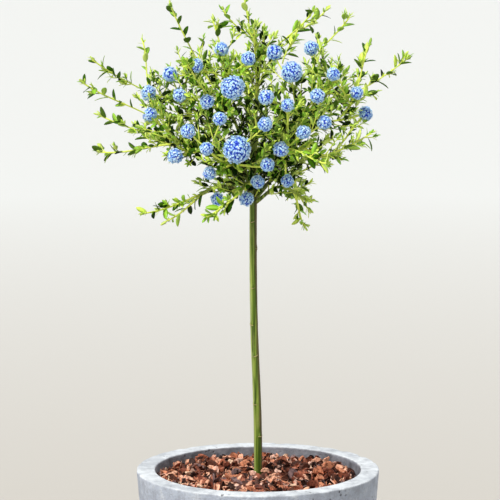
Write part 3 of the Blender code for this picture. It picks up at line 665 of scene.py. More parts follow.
def soil_and_gap_shade_look():
    g = Graph(bpy.data.materials.new("soil_and_gap_shade"))
    grain = g.noise(220.0, 6.0, 0.7)
    # soil brown, kept dark as painted shade for the gaps between the chips
    base = g.ramp(grain, (0.35, (0.010, 0.006, 0.004)), (0.65, (0.050, 0.026, 0.017)))
    return g.finish(base, 0.95, grain, 0.003, 0.8)


# ======== pot and mulch
def body_top_radius():
    return RIM_RADIUS - BAND_HEIGHT * math.tan(BAND_TAPER) - BAND_OVERHANG


def inner_radius(height):
    """Radius of the pot's inner wall: slanted under the rim, then parallel to the body."""
    band_foot = POT_HEIGHT - BAND_HEIGHT
    top, middle, bottom = RIM_RADIUS - RIM_WIDTH, body_top_radius() - BODY_WALL, FOOT_RADIUS - BODY_WALL
    if height >= band_foot:
        return middle + (top - middle) * (height - band_foot) / BAND_HEIGHT
    return bottom + (middle - bottom) * (height - POT_FLOOR) / (band_foot - POT_FLOOR)


def arc(centre, radius, first, last, steps):
    angles = [math.radians(first + (last - first) * i / steps) for i in range(steps + 1)]
    return [(centre[0] + radius * math.cos(a), centre[1] + radius * math.sin(a)) for a in angles]


def between(first, last, steps):
    """Points after the first one, up to the last one."""
    return [
        (first[0] + (last[0] - first[0]) * i / steps, first[1] + (last[1] - first[1]) * i / steps)
        for i in range(1, steps + 1)
    ]


def pot_profile():
    """(radius, height) points from the foot's edge up the outside, over the rim and down inside."""
    band_foot = POT_HEIGHT - BAND_HEIGHT
    band_radius = RIM_RADIUS - BAND_HEIGHT * math.tan(BAND_TAPER)
    outer = (RIM_RADIUS - LIP_OUTER_ROUND, POT_HEIGHT - LIP_OUTER_ROUND)
    inner = (RIM_RADIUS - RIM_WIDTH + LIP_INNER_ROUND, POT_HEIGHT - LIP_INNER_ROUND)
    line = [(FOOT_RADIUS - FOOT_CHAMFER, 0.0)]
    line += arc((FOOT_RADIUS - FOOT_CHAMFER, FOOT_CHAMFER), FOOT_CHAMFER, -90, 0, 4)[1:]
    line += between(line[-1], (body_top_radius(), band_foot), 30)
    line += between(line[-1], (band_radius - BAND_FOOT_ROUND, band_foot), 4)
    line += arc((band_radius - BAND_FOOT_ROUND, band_foot + BAND_FOOT_ROUND), BAND_FOOT_ROUND, -80, 0, 4)
    line += between(line[-1], (RIM_RADIUS, POT_HEIGHT - LIP_OUTER_ROUND), 16)
    line += arc(outer, LIP_OUTER_ROUND, 8, 90, 14)
    line += between(line[-1], (inner[0], POT_HEIGHT), 10)
    line += arc(inner, LIP_INNER_ROUND, 100, 180, 6)
    line += between(line[-1], (inner_radius(band_foot), band_foot), 16)
    line += between(line[-1], (inner_radius(POT_FLOOR), POT_FLOOR), 10)
    line += between(line[-1], (DRAIN_CIRCLE + DRAIN_RADIUS * 1.5, POT_FLOOR), 3)
    return line


def relief(spot, scale, depth):
    return noise.noise(spot * scale) * depth


def worn(radius, turn, height):
    """A turned point moved a little, as no cast wall is quite true, and nicked along the rim's outer edge."""
    spot = around(turn, radius, height)
    if height < 0.001:
        return tuple(spot)
    swell = sum(relief(spot, *each) for each in POT_SWELLS)
    drop = 0.0
    if height > POT_HEIGHT - WORN_DEPTH:
        swell += relief(spot, *RIM_SWELL)
        drop = relief(spot, *RIM_DROP)
        edge = math.hypot(radius - RIM_RADIUS + NICK_INSET, height - POT_HEIGHT + NICK_INSET)
        nick = max(0.0, noise.noise(spot * NICK_SCALE + NICK_SHIFT) - NICK_LEVEL)
        nick *= max(0.0, 1 - edge / NICK_REACH)
        swell -= NICK_SINK * nick
        drop -= NICK_DROP * nick
    reach = radius + swell
    return math.cos(turn) * reach, math.sin(turn) * reach, min(height + drop, POT_HEIGHT + NICK_OVER)


def join_rings(shape, low, high):
    for quad in zip(low, low[1:] + low[:1], high[1:] + high[:1], high):
        shape.faces.new(quad)


def make_pot():
    """The whole pot as one closed skin, with the drain holes cut through its floor."""
    shape = bmesh.new()
    turns = [math.tau * i / POT_SEGMENTS for i in range(POT_SEGMENTS)]
    rings = [
        [shape.verts.new(worn(radius, turn, height)) for turn in turns]
        for radius, height in pot_profile()
    ]
    for low, high in zip(rings, rings[1:]):
        join_rings(shape, low, high)
    holes = []
    for hole in range(DRAIN_HOLES):
        turn = math.tau * (hole + 0.5) / DRAIN_HOLES
        x, y = DRAIN_CIRCLE * math.cos(turn), DRAIN_CIRCLE * math.sin(turn)
        bends = [math.tau * k / DRAIN_SIDES for k in range(DRAIN_SIDES)]
        circle = [(x + DRAIN_RADIUS * math.cos(bend), y + DRAIN_RADIUS * math.sin(bend)) for bend in bends]
        ends = [[shape.verts.new((*spot, height)) for spot in circle] for height in (0.0, POT_FLOOR)]
        join_rings(shape, *ends)
        holes.append(ends)
    for level, ring in ((0, rings[0]), (1, rings[-1])):
        edges = []
        for loop in [ring] + [ends[level] for ends in holes]:
            edges += [shape.edges.get(pair) for pair in zip(loop, loop[1:] + loop[:1])]
        bmesh.ops.triangle_fill(shape, edges=edges, use_beauty=True)
    bmesh.ops.recalc_face_normals(shape, faces=shape.faces)
    mesh = bpy.data.meshes.new("pot_shell")
    shape.to_mesh(mesh)
    shape.free()
    mesh.materials.append(pot_look())
    mesh.shade_smooth()
    mesh.set_sharp_from_angle(angle=math.radians(50))
    pot = placed("pot_shell", mesh)
    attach(pot, BODY)
    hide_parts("pot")


def mulch_height(radius):
    share = min(radius / MULCH_FIELD, 1.0)
    return MULCH_EDGE + (MULCH_MOUND - MULCH_EDGE) * (1 - share * share)


CHIP_END = [(0, 1, 4), (0, 4, 5), (1, 2, 3), (1, 3, 4)]
CHIP_OTHER_END = [tuple(18 + corner for corner in face[::-1]) for face in CHIP_END]
CHIP_FACES = CHIP_END + CHIP_OTHER_END + strip(4, 6, 0, True)


def chip_arrays(rng, middle, along, across, up, length, width, thick):
    """A curled flake of bark: four stations, each an arc of three corners with as many below them."""
    verts = []
    curl = rng.uniform(*CHIP_CURLS) * rng.choice((-1, -1, 1)) * width
    bend = rng.uniform(*CHIP_BENDS) * length
    for x, breadth in CHIP_STATIONS:
        lift = bend * (4 * x * x) + rng.uniform(-0.2, 0.2) * thick
        skew = rng.uniform(-CHIP_SKEW, CHIP_SKEW) * width
        reach = x * length * rng.uniform(0.9, 1.06)
        row = []
        for side in (-1, 0, 1):
            half = side * width / 2 * breadth * rng.uniform(*CHIP_RAGGED) + skew
            row.append((half, lift + curl * abs(side) * breadth + rng.uniform(-0.15, 0.15) * thick))
        corners = row + [(half, level - thick * rng.uniform(0.7, 1.1)) for half, level in row[::-1]]
        verts += [tuple(middle + along * reach + across * half + up * level) for half, level in corners]
    return verts, CHIP_FACES


def make_bed():
    """The dark bed that shows between the chips, closed down to the soil; its darkness is the soil's own
    colour and painted shade for the gaps between the chips.
    """
    foot = GROUND + GAP
    reach = inner_radius(MULCH_EDGE) - WALL_GAP
    line = [(reach * (ring + 1) / BED_RINGS, None) for ring in range(BED_RINGS)]
    line.append((inner_radius(foot) - WALL_GAP, foot))
    verts = [(0.0, 0.0, mulch_height(0.0) - BED_DROP)]
    for radius, level in line:
        for i in range(BED_SIDES):
            spot = around(math.tau * i / BED_SIDES, radius)
            bumpy = mulch_height(radius) - BED_DROP + relief(spot, *BED_BUMPS)
            verts.append((spot.x, spot.y, bumpy if level is None else level))
    verts.append((0.0, 0.0, foot))
    faces = closed_faces(len(line), BED_SIDES)
    bed = mesh_object("mulch_bed", verts, faces, soil_and_gap_shade_look(), True, "bark_mulch")
    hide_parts("mulch")


def make_chips():
    """Curled chips of bark in nine tints, spread evenly by the golden angle and tipped every way."""
    rng = random.Random(SEED + 1)
    batches = [Batch() for _ in CHIP_TINTS]
    weights = [share for _, share, _ in CHIP_TINTS]
    stem = trunk_point(MULCH_MOUND)
    wall = inner_radius(MULCH_EDGE) - CHIP_WALL_GAP
    for i in range(CHIPS):
        reach = CHIP_FIELD * math.sqrt((i + 0.5) / CHIPS)
        turn = i * GOLDEN_ANGLE + rng.uniform(-CHIP_STRAY, CHIP_STRAY)
        length = rng.uniform(*CHIP_LENGTHS)
        width = length * rng.uniform(*CHIP_BREADTHS)
        thick = rng.uniform(*CHIP_THICKNESSES)
        spin = rng.uniform(0, math.tau)
        if reach > ALONG_WALL_FROM:
            spin = turn + math.pi / 2 + rng.uniform(-WALL_STRAY, WALL_STRAY)
        turned = Matrix.Rotation(spin, 3, "Z") @ Matrix.Rotation(rng.gauss(0, CHIP_TILTS[0]), 3, "Y")
        turned = turned @ Matrix.Rotation(rng.gauss(0, CHIP_TILTS[1]), 3, "X")
        middle = around(turn, reach, mulch_height(reach) + rng.uniform(-CHIP_SINK, CHIP_SINK))
        along, across, up = turned.col
        corners = [(a, b) for a in (-0.5, 0.5) for b in (-0.5, 0.0, 0.5)]
        ends = [middle + along * length * a + across * width * b for a, b in corners]
        if any(math.hypot(end.x, end.y) > wall or end.z > MULCH_TOP for end in ends):
            continue
        line = [middle + along * length * share for share in (-0.5, -0.25, 0, 0.25, 0.5)]
        clear = TRUNK_CLEAR + width * TRUNK_CLEAR_SHARE
        if any(math.hypot(spot.x - stem.x, spot.y - stem.y) < clear for spot in line):
            continue
        pick = rng.choices(range(len(CHIP_TINTS)), weights)[0]
        batches[pick].add(*chip_arrays(rng, middle, along, across, up, length, width, thick))
    for batch, (name, _, colour) in zip(batches, CHIP_TINTS):
        look = chip_look(f"bark_chip_{name}", colour)
        chips = batch.object(f"bark_chips_{name}", look, False, "bark_mulch")
        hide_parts("mulch")


# ======== trunk and boughs
def smooth(share):
    share = min(max(share, 0.0), 1.0)
    return share * share * (3 - 2 * share)


def trunk_point(height):
    share = smooth((height - GROUND) / (TRUNK_LEAN_HEIGHT - GROUND))
    sway = TRUNK_SWAY * math.sin(math.tau * (height - GROUND) / (TRUNK_TOP - GROUND))
    return Vector((TRUNK_LEAN * share + sway, TRUNK_BACK - TRUNK_DRIFT * share, height))


def trunk_radius(height):
    flare = (FLARE_RADIUS - TRUNK_FOOT_RADIUS) * max(0.0, 1 - (height - GROUND) / FLARE_HEIGHT) ** 2
    clear = smooth((height - GROUND) / (CROWN_BASE - GROUND))
    radius = TRUNK_FOOT_RADIUS + (TRUNK_WAIST_RADIUS - TRUNK_FOOT_RADIUS) * clear + flare
    fork = max(0.0, (height - CROWN_BASE) / (TRUNK_TOP - CROWN_BASE))
    return radius + (TRUNK_TIP_RADIUS - TRUNK_WAIST_RADIUS) * fork


def towards(azimuth, rise):
    return around(math.radians(azimuth), math.cos(math.radians(rise)), math.sin(math.radians(rise)))


def handles(start, leave, end, arrive, pull):
    """The four control points of a smooth curve between two directions."""
    reach = (end - start).length * pull
    return start, start + leave.normalized() * reach, end - arrive.normalized() * reach, end


def on_curve(control, t):
    s = 1 - t
    return control[0] * s**3 + control[1] * 3 * s * s * t + control[2] * 3 * s * t * t + control[3] * t**3


def curve_points(control, steps):
    return [on_curve(control, i / steps) for i in range(steps + 1)]


def tapered(first, last, count):
    return [first + (last - first) * i / (count - 1) for i in range(count)]


def bough_handles(start, way, reach):
    return handles(start, Vector((way.x, way.y, BOUGH_RISE)), HEART + way * reach, way, BOUGH_PULL)


def samples(lines):
    pieces = [(a, b) for line in lines for a, b in zip(line, line[1:])]
    return np.array([tuple(a.lerp(b, i / 6)) for a, b in pieces for i in range(7)])


def nearest_approach(line, others):
    if not others:
        return math.inf
    spots, rest = samples([line]), samples(others)
    return float(np.linalg.norm(spots[:, None, :] - rest[None, :, :], axis=2).min())


def outside_trunk(line):
    return [line[0].lerp(line[1], 0.35)] + line[1:]


def plan_boughs():
    """Name, direction, line, radii and control points of each bough, and of the trunk's own tip."""
    plans = []
    spacing = 2 * BOUGH_FOOT_RADIUS + BOUGH_SPACING
    for name, count, first, rise, fork, reach in BOUGH_RINGS:
        for i in range(count):
            way = towards(first + 360.0 * i / count, rise + (RISE_SWING if i % 2 else -RISE_SWING))
            height = fork
            control = bough_handles(trunk_point(height), way, reach)
            shown = [outside_trunk(plan[2]) for plan in plans]
            while nearest_approach(outside_trunk(curve_points(control, BOUGH_STEPS)), shown) < spacing:
                height += FORK_STEP
                control = bough_handles(trunk_point(height), way, reach)
            line = curve_points(control, BOUGH_STEPS)
            radii = tapered(BOUGH_FOOT_RADIUS, BOUGH_TIP_RADIUS, len(line))
            plans.append((f"{name}_{i + 1}", way, line, radii, control))
    tip = [trunk_point(height) for height in TIP_HEIGHTS]
    plans.append(("top", towards(0, 88), tip, [trunk_radius(point.z) for point in tip], None))
    return plans


def limb_skin(points, radii, sides, relief, salt):
    """Corners and triangles of a limb with long low ridges round it."""

    def ridge(step, turn, point):
        place = Vector((math.cos(turn) * 2.2, math.sin(turn) * 2.2, point.z * 45 + salt))
        return relief * (math.cos(5 * turn + salt + 0.05 * step) * 0.5 + noise.noise(place))

    return tube_arrays(points, radii, sides, ridge)


def scar_lift(height, turn):
    """How far the bark swells out under a leaf scar and its bud."""
    lift = 0.0
    for scar, azimuth, _ in LEAF_SCARS:
        facing = max(0.0, math.cos(turn - math.radians(azimuth)))
        for depth, narrowness, above, spread in SCAR_SWELLS:
            lift += depth * facing**narrowness * math.exp(-(((height - scar - above) / spread) ** 2))
    return lift


def make_trunk():
    """The stem's bark, swollen out at its leaf scars, and the pale scars themselves."""
    low = GROUND + GAP
    heights = [low + (TRUNK_TOP - low) * i / TRUNK_RINGS for i in range(TRUNK_RINGS + 1)]
    points = [trunk_point(height) for height in heights]
    radii = [trunk_radius(height) for height in heights]
    verts, faces = limb_skin(points, radii, TRUNK_SIDES, TRUNK_RELIEF, 0.0)
    lifted = []
    for index, corner in enumerate(verts):
        height, point = heights[index // TRUNK_SIDES], points[index // TRUNK_SIDES]
        out = Vector(corner) - point
        lifted.append(tuple(Vector(corner) + out.normalized() * scar_lift(height, math.atan2(out.y, out.x))))
    trunk = mesh_object("trunk_bark", lifted, faces, bark_look("trunk_bark", False), True, "green_bark")
    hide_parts("trunk")
    scars = Batch()
    for height, azimuth, slant in LEAF_SCARS:
        path, radii = [], []
        for i in range(13):
            share = i / 6 - 1
            turn = math.radians(azimuth) + share * SCAR_SPREAD
            level = height - SCAR_SAG * (1 - share * share) + slant / 2 * share
            out = trunk_radius(level) + scar_lift(level, turn) + SCAR_STANDS_OUT
            path.append(trunk_point(level) + around(turn) * out)
            radii.append(SCAR_RADIUS * math.sqrt(max(1 - share * share, 0.04)))
        scars.add(*tube_arrays(path, radii, 6))
    marks = scars.object("leaf_scars", chip_look("scar_cork", SCAR_TINT), True, "green_bark")
    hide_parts("trunk")


def make_boughs(plans):
    """The boughs' bark, each flared a little over the first pieces of its length."""
    batch = Batch()
    for index, (_, _, _, radii, control) in enumerate(plans[:-1]):
        points = curve_points(control, BOUGH_PIECES)
        plain_radii = tapered(radii[0], radii[-1], len(points))
        flares = [1.0 + BOUGH_FLARE * max(0.0, 1 - i / FLARED_PIECES) for i in range(len(points))]
        flared = [radius * flare for radius, flare in zip(plain_radii, flares)]
        batch.add(*limb_skin(points, flared, BOUGH_SIDES, BOUGH_RELIEF, index * 1.7))
    boughs = batch.object("bough_bark", bark_look("bough_bark", True), True, "green_bark")
    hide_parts(*(f"bough_{plan[0]}" for plan in plans[:-1]))


# ======== where twigs are to end, as in the part's source
def shell_radius(height):
    reach = SHELL_RISE if height > SHELL_LEVEL else SHELL_DROP
    dome = SHELL_RADIUS * math.sqrt(max(0.0, 1 - ((height - SHELL_LEVEL) / reach) ** 2))
    skirt = SKIRT_RADIUS * math.sqrt(max(0.0, 1 - ((height - SKIRT_LEVEL) / SKIRT_DEPTH) ** 2))
    return max(dome, skirt)


def shell_depth(across, height):
    return math.sqrt(max(0.0, shell_radius(height) ** 2 - (across - HEART.x) ** 2))


def carried_back(across, height, distance):
    return across * (1 + BACK_SPREAD * distance), height - BACK_DROP * distance


def on_shell(across, height, side):
    return Vector((across, HEART.y + side * shell_depth(across, height), height))


def bloom_ends(rng):
    ends = [(on_shell(across, height, -1), radius) for across, height, radius in BIG_BLOOMS]
    for height, places in BLOOM_TIERS:
        ends += [(on_shell(across, height, -1), rng.uniform(*BLOOM_RADII)) for across in places]
        for across in places:
            if abs(across) > FLANK_FROM:
                back = rng.uniform(-FLANK_DEPTH, FLANK_DEPTH)
                out, level = carried_back(across, height, shell_depth(across, height) + back)
                ends.append((Vector((out, HEART.y + back, level)), rng.uniform(*BLOOM_RADII)))
    for height, places in BLOOM_TIERS[:FAR_TIERS]:
        for across in places:
            out, level = carried_back(across, height, 2 * shell_depth(across, height))
            level += rng.uniform(-FAR_SHIFT, FAR_SHIFT)
            ends.append((on_shell(out, level, 1), rng.uniform(*BLOOM_RADII)))
    return ends


def shoot_ends():
    ends = []
    sides = ((180, LEFT_SHOOTS), (0, RIGHT_SHOOTS), (270, NEAR_AND_FAR_SHOOTS), (90, NEAR_AND_FAR_SHOOTS))
    for azimuth, shoots in sides:
        for i, (rise, reach) in enumerate(shoots):
            out = towards(azimuth, rise) * (reach - TUFT_REACH)
            turn = math.radians(SHOOT_SPREAD * ((i * 2) % 3 - 1))
            ends.append(HEART + out + Vector((-out.y, out.x, 0)) * math.tan(turn))
    return ends


def crown_reach(way):
    reach = 0.05
    while reach < 0.3:
        spot = HEART + way * reach
        if math.hypot(spot.x - HEART.x, spot.y - HEART.y) > shell_radius(spot.z):
            break
        reach += 0.004
    return reach


def leafy_ends(taken, rng):
    taken = list(taken)
    ends = []
    for i in range(LEAFY_TRIES):
        rise = math.asin(1 - LEAFY_SPAN * (i + 0.5) / LEAFY_TRIES)
        way = towards(math.degrees(i * LEAF_TURN), math.degrees(rise))
        end = HEART + way * crown_reach(way) * rng.uniform(*LEAFY_REACH)
        if all((end - other).length > LEAFY_SPACING for other in taken):
            ends.append(end)
            taken.append(end)
    return ends


# ======== the space of one mass, as in the part's source
class Space:
    def __init__(self, index, ways, limb_points, limb_radii):
        self.planes = [(ways[index] - way).normalized() for i, way in enumerate(ways) if i != index]
        self.limb_points = limb_points
        self.limb_radii = limb_radii

    def inside(self, point, radius=0.0):
        offset = point - HEART
        return all(offset.dot(plane) > CELL_MARGIN + radius for plane in self.planes)

    def drawn_in(self, point, radius):
        for _ in range(4):
            for plane in self.planes:
                short = CELL_MARGIN * 1.5 + radius - (point - HEART).dot(plane)
                if short > 0:
                    point = point + plane * short
        return point

    def clear(self, points, radius):
        spots = np.array([tuple(point) for point in points])
        reach = np.linalg.norm(spots[:, None, :] - self.limb_points[None, :, :], axis=2)
        return bool((reach - self.limb_radii > radius + LIMB_MARGIN).all())


def limb_samples(plans):
    points, radii = [], []
    for step in range(LIMB_SAMPLES):
        height = LIMB_FROM + (TRUNK_TOP - LIMB_FROM) * step / (LIMB_SAMPLES - 1)
        points.append(tuple(trunk_point(height)))
        radii.append(trunk_radius(height))
    for plan in plans[:-1]:
        line, sizes = plan[2], plan[3]
        for (a, b), size in zip(zip(line, line[1:]), sizes):
            for step in range(8):
                points.append(tuple(a.lerp(b, step / 8)))
                radii.append(size)
    return np.array(points), np.array(radii)


# ======== twigs
class Twig:
    """A twig of the source's rule, with its control points for a finer line."""

    def __init__(self, control, steps, foot, tip, butt=None, rank=1):
        self.control = control
        self.points = ([butt] if butt else []) + curve_points(control, steps)
        self.radii = tapered(foot, tip, len(self.points))
        self.butt, self.foot, self.tip, self.rank = butt, foot, tip, rank

    def fine(self, steps=FINE_STEPS):
        line = ([self.butt] if self.butt else []) + curve_points(self.control, steps)
        full = TWIG_FULLNESS if self.rank < 3 else 1.0
        return line, tapered(self.foot * full, self.tip * full, len(line))

    def bear(self, shift):
        """Marks a twig that carries a bloom, and brings its tip to the bloom's own place."""
        self.rank = 2
        start, leave, arrive, end = self.control
        self.control = (start, leave, arrive + shift, end + shift)

    def lead_on(self, length):
        """Carries the twig on beyond its tip."""
        start, leave, arrive, end = self.control
        ahead = (end - arrive).normalized() * length
        self.control = (start, leave, arrive + ahead * 0.7, end + ahead)


def stem_of(plan):
    _, way, line, radii, _ = plan
    leave = (line[-1] - line[-2]).normalized()
    start = line[-1] + leave * GAP
    squared = start + leave * STEM_BUTT
    end = HEART + way * min(STEM_REACH, crown_reach(way) * STEM_SHARE)
    control = handles(squared, leave, end, way, TWIG_PULL)
    return Twig(control, TWIG_STEPS, radii[-1], TWIG_FOOT_RADIUS, start, 0)


def fork_to(end, twigs, space, radius):
    """A new twig to end from the twig that reaches it most directly, or None where none can."""
    choices = []
    for twig in twigs:
        for i in range(1, len(twig.points)):
            for share in FORK_SHARES:
                foot = twig.points[i - 1].lerp(twig.points[i], share)
                along = (twig.points[i] - twig.points[i - 1]).normalized()
                way = end - foot
                turn = along.angle(way)
                if way.length > LEAST_TWIG and (foot - twigs[0].points[0]).length > BARE_STEM:
                    choices.append((way.length * (1 + turn * turn), foot, along, twig.radii[i]))
    for _, foot, along, size in sorted(choices, key=lambda choice: choice[0])[:FORK_TRIES]:
        way = (end - foot).normalized()
        arrive = (way + (end - HEART).normalized() * FORK_OUTWARD + Vector((0, 0, FORK_RISE))).normalized()
        leave = (along * FORK_FOLLOW + way).normalized()
        control = handles(foot, leave, end, arrive, TWIG_PULL)
        line = curve_points(control, TWIG_STEPS)
        foot_radius = min(TWIG_FOOT_RADIUS, size * FORK_THINNING)
        fits = all(space.inside(point, TWIG_FOOT_RADIUS) for point in line) and space.inside(end, radius)
        if fits and space.clear(line[1:] + [foot.lerp(line[1], 0.5)], foot_radius):
            return Twig(control, TWIG_STEPS, foot_radius, TWIG_TIP_RADIUS)
    return None


def grow(plan, ends, space):
    """The mass's twigs, stem first, and the blooms that they carry."""
    stem = stem_of(plan)
    twigs, blooms = [stem], []
    for wanted, radius in sorted(ends, key=lambda item: (item[0] - stem.points[0]).length):
        end = space.drawn_in(wanted, max(radius, TWIG_FOOT_RADIUS))
        twig = fork_to(end, twigs, space, radius)
        if twig is None:
            continue
        twigs.append(twig)
        if radius:
            blooms.append((wanted, radius))
            twig.bear(wanted - end)
    return twigs, blooms


def grow_all(plans):
    """Every mass's twigs and blooms, by the same draws as the source."""
    rng = random.Random(SEED)
    ways = [plan[1] for plan in plans]
    limb_points, limb_radii = limb_samples(plans)
    spaces = [Space(i, ways, limb_points, limb_radii) for i in range(len(plans))]
    ends = bloom_ends(rng) + [(end, 0.0) for end in shoot_ends()]
    ends += [(end, 0.0) for end in leafy_ends([end for end, _ in ends], rng)]
    shares = [[] for _ in plans]
    for end, radius in ends:
        nearest = max(range(len(ways)), key=lambda i: (end - HEART).dot(ways[i]))
        shares[nearest].append((end, radius))
    twigs, blooms = [], []
    for plan, share, space in zip(plans, shares, spaces):
        some_twigs, some_blooms = grow(plan, share, space)
        twigs += some_twigs
        blooms += some_blooms
    return twigs, blooms


def depth_in_crown(point):
    """0 at the heart, 1 on the shell, more beyond it."""
    out = point - HEART
    return out.length / max(crown_reach(out.normalized()), 0.02)


def walk(line, distance):
    """(point, direction) that far along a line of points."""
    for a, b in zip(line, line[1:]):
        span = (b - a).length
        if distance <= span:
            return a.lerp(b, distance / span), (b - a).normalized()
        distance -= span
    return line[-1].copy(), (line[-1] - line[-2]).normalized()


def length_of(line):
    return sum((b - a).length for a, b in zip(line, line[1:]))


def hides_bloom(spot, blooms):
    """Whether a leaf or a tip there would stand in a bloom or before its open side."""
    for middle, radius in blooms:
        offset = spot - middle
        if offset.length < radius + BLOOM_CLEAR:
            return True
        facing = (middle - HEART).normalized()
        facing = (facing + Vector((0, BLOOM_FRONT if facing.y > 0 else -BLOOM_FRONT, BLOOM_UP))).normalized()
        ahead = offset.dot(facing)
        if 0 < ahead < BLOOM_VIEW and (offset - facing * ahead).length < radius + BLOOM_VIEW_MARGIN:
            return True
    return False


def side_twigs(line, from_share, blooms, rng):
    """Finer twigs round a line of points by the golden angle, turned up towards the light."""
    total = length_of(line)
    found = []
    distance = total * from_share + SIDE_SPACING * rng.uniform(*FIRST_SIDE)
    turn = rng.uniform(0, math.tau)
    while distance < total - SIDE_BARE_TIP:
        foot, along = walk(line, distance)
        side = sideways(along, turn)
        way = (along * math.cos(SIDE_OPENING) + side * math.sin(SIDE_OPENING)).normalized()
        depth = depth_in_crown(foot)
        _, least, most, chance = next(zone for zone in SIDE_ZONES if depth <= zone[0])
        if foot.z > OPEN_TOP and depth > OPEN_DEPTH:
            chance *= 1 - OPEN_SHARE
        length, lucky = rng.uniform(least, most), rng.random() < chance
        rise = (way + Vector((0, 0, SIDE_LIFT)) + (foot - HEART).normalized() * SIDE_OUTWARD).normalized()
        control = handles(foot, way, foot + (way + rise).normalized() * length, rise, SIDE_PULL)
        turn += LEAF_TURN
        distance += SIDE_SPACING * rng.uniform(*SIDE_SPREAD) * (HEART_SPACING if depth < HEART_REACH else 1.0)
        clear = not any(hides_bloom(on_curve(control, share), blooms) for share in (0.5, 1.0))
        if lucky and clear and (depth > 1.0 or depth_in_crown(control[3]) < SIDE_FARTHEST):
            found.append(Twig(control, SIDE_STEPS, SIDE_FOOT_RADIUS, SIDE_TIP_RADIUS, None, 3))
    return found


# ======== leaves
def leaf_template():
    """Corners, top faces and under faces of a thin folded blade along +X, one unit long and two wide."""
    top = [(0.0, 0.0, 0.0)]
    for x, half, z in LEAF_STATIONS:
        top += [(x, half, z + LEAF_FOLD * half), (x, 0.0, z), (x, -half, z + LEAF_FOLD * half)]
    top.append((1.0, 0.0, -0.030))
    tip = len(top) - 1
    faces = [(0, 2, 1), (0, 3, 2)]
    for a in range(1, tip - 3, 3):
        faces += [(a, a + 1, a + 4), (a, a + 4, a + 3), (a + 1, a + 2, a + 5), (a + 1, a + 5, a + 4)]
    faces += [(tip - 3, tip - 2, tip), (tip - 2, tip - 1, tip)]
    ribs = {2 + 3 * station: tip + 1 + station for station in range(len(LEAF_STATIONS))}
    corners = top + [(x, y, z - LEAF_THICKNESS) for x, y, z in (top[rib] for rib in ribs)]
    under = [tuple(ribs.get(corner, corner) for corner in face[::-1]) for face in faces]
    return corners, faces, under


def make_leaves(leaves):
    """One mesh for each tint, from the rows of its leaves."""
    corners, top, under = leaf_template()
    for tint, rows in leaves.items():
        spots, top_faces = stamp(corners, top, rows)
        _, under_faces = stamp(corners, under, rows)
        colour, under_colour, gloss = LEAF_TINTS[tint]
        upper = plain(f"leaf_{tint}", colour, LEAF_ROUGHNESS, gloss)
        lower = plain(f"leaf_{tint}_under", under_colour, UNDER_ROUGHNESS, UNDER_GLOSS)
        leaf = mesh_object(f"leaves_{tint}", spots, top_faces, upper, True, "foliage", lower, under_faces)
        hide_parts(*MASSES)


def tint_of(depth, share, rng):
    """Darker leaves inside the crown, partly older leaves' own green and partly painted shade, greener ones
    outside and yellow-green ones towards growing tips.
    """
    draw = rng.random()
    if share > 0.99 and depth > TIP_TINT[0]:
        return "fresh" if draw < TIP_TINT[1] else "mid"
    _, darkest_shade, dark, mid = next(zone for zone in TINT_ZONES if depth < zone[0])
    return "darkest_shade" if draw < darkest_shade else "dark" if draw < dark else "mid" if draw < mid else "fresh"


def add_leaf(leaves, blooms, rng, foot, along, turn, opening, length, share):
    """Adds one leaf's foot, direction, half width and facing to its tint, unless it would hide a bloom."""
    lift = Vector((0, 0, rng.uniform(*LEAF_LIFTS)))
    way = (along * math.cos(opening) + sideways(along, turn) * math.sin(opening) + lift).normalized()
    outward = (foot - HEART).normalized()
    ahead, up, out = LEAF_FACING
    facing = along * ahead + Vector((0, 0, up)) + outward * out + jitter(rng, LEAF_TWIST)
    facing = (facing - way * facing.dot(way)).normalized()
    if hides_bloom(foot + way * length * LEAF_MIDDLE, blooms):
        return
    tint = tint_of(depth_in_crown(foot), share, rng)
    breadth = TIP_LEAF_WIDTH if share > 0.99 else LEAF_WIDTH
    width = length * breadth * rng.uniform(*LEAF_BREADTHS)
    row = (*foot, *(way * length), *(facing.cross(way) * width / 2), *(facing * length))
    leaves.setdefault(tint, []).append(row)


def add_leaves(line, rank, leaves, blooms, rng):
    """Leaves along a twig by the golden angle, smaller towards its tip, with a tuft at a leafy tip."""
    total = length_of(line)
    main = rank < 3
    distance = total * BARE_SHARES[main] + LEAF_SPACING * rng.uniform(*FIRST_LEAF)
    turn = rng.uniform(0, math.tau)
    while distance < total - 0.003:
        foot, along = walk(line, distance)
        share = distance / total
        outside = depth_in_crown(foot) > 1.0
        turn += LEAF_TURN + rng.uniform(-LEAF_STRAY, LEAF_STRAY)
        length = rng.uniform(*LEAF_LENGTHS) * (OUTER_LEAF if outside else 1.0 - LEAF_TAPER * share)
        opening = LEAF_OPENING * rng.uniform(*LEAF_OPENINGS)
        add_leaf(leaves, blooms, rng, foot, along, turn, opening, length, share * 0.98)
        if main and outside:
            for spur in range(rng.choice(SPUR_LEAVES)):
                opening = LEAF_OPENING * rng.uniform(*SPUR_OPENINGS)
                size = rng.uniform(*SPUR_LENGTHS)
                aside = turn + rng.uniform(-SPUR_STRAY, SPUR_STRAY)
                add_leaf(leaves, blooms, rng, foot, along, aside, opening, size, 1.0)
        spread = SHOOT_LEAF_SPREAD if outside else MAIN_LEAF_SPREAD if main else 1.0
        distance += LEAF_SPACING * rng.uniform(*LEAF_SPREADS) * spread
    if rank == 2:
        return
    for i in range(TIP_LEAVES):
        foot, along = walk(line, total - 0.0004 - TIP_LEAF_STEP * i)
        turn += LEAF_TURN
        opening = LEAF_OPENING * (TIP_LEAF_OPENING + TIP_LEAF_OPENING * i)
        add_leaf(leaves, blooms, rng, foot, along, turn, opening, rng.uniform(*TIP_LEAF_LENGTHS), 1.0)


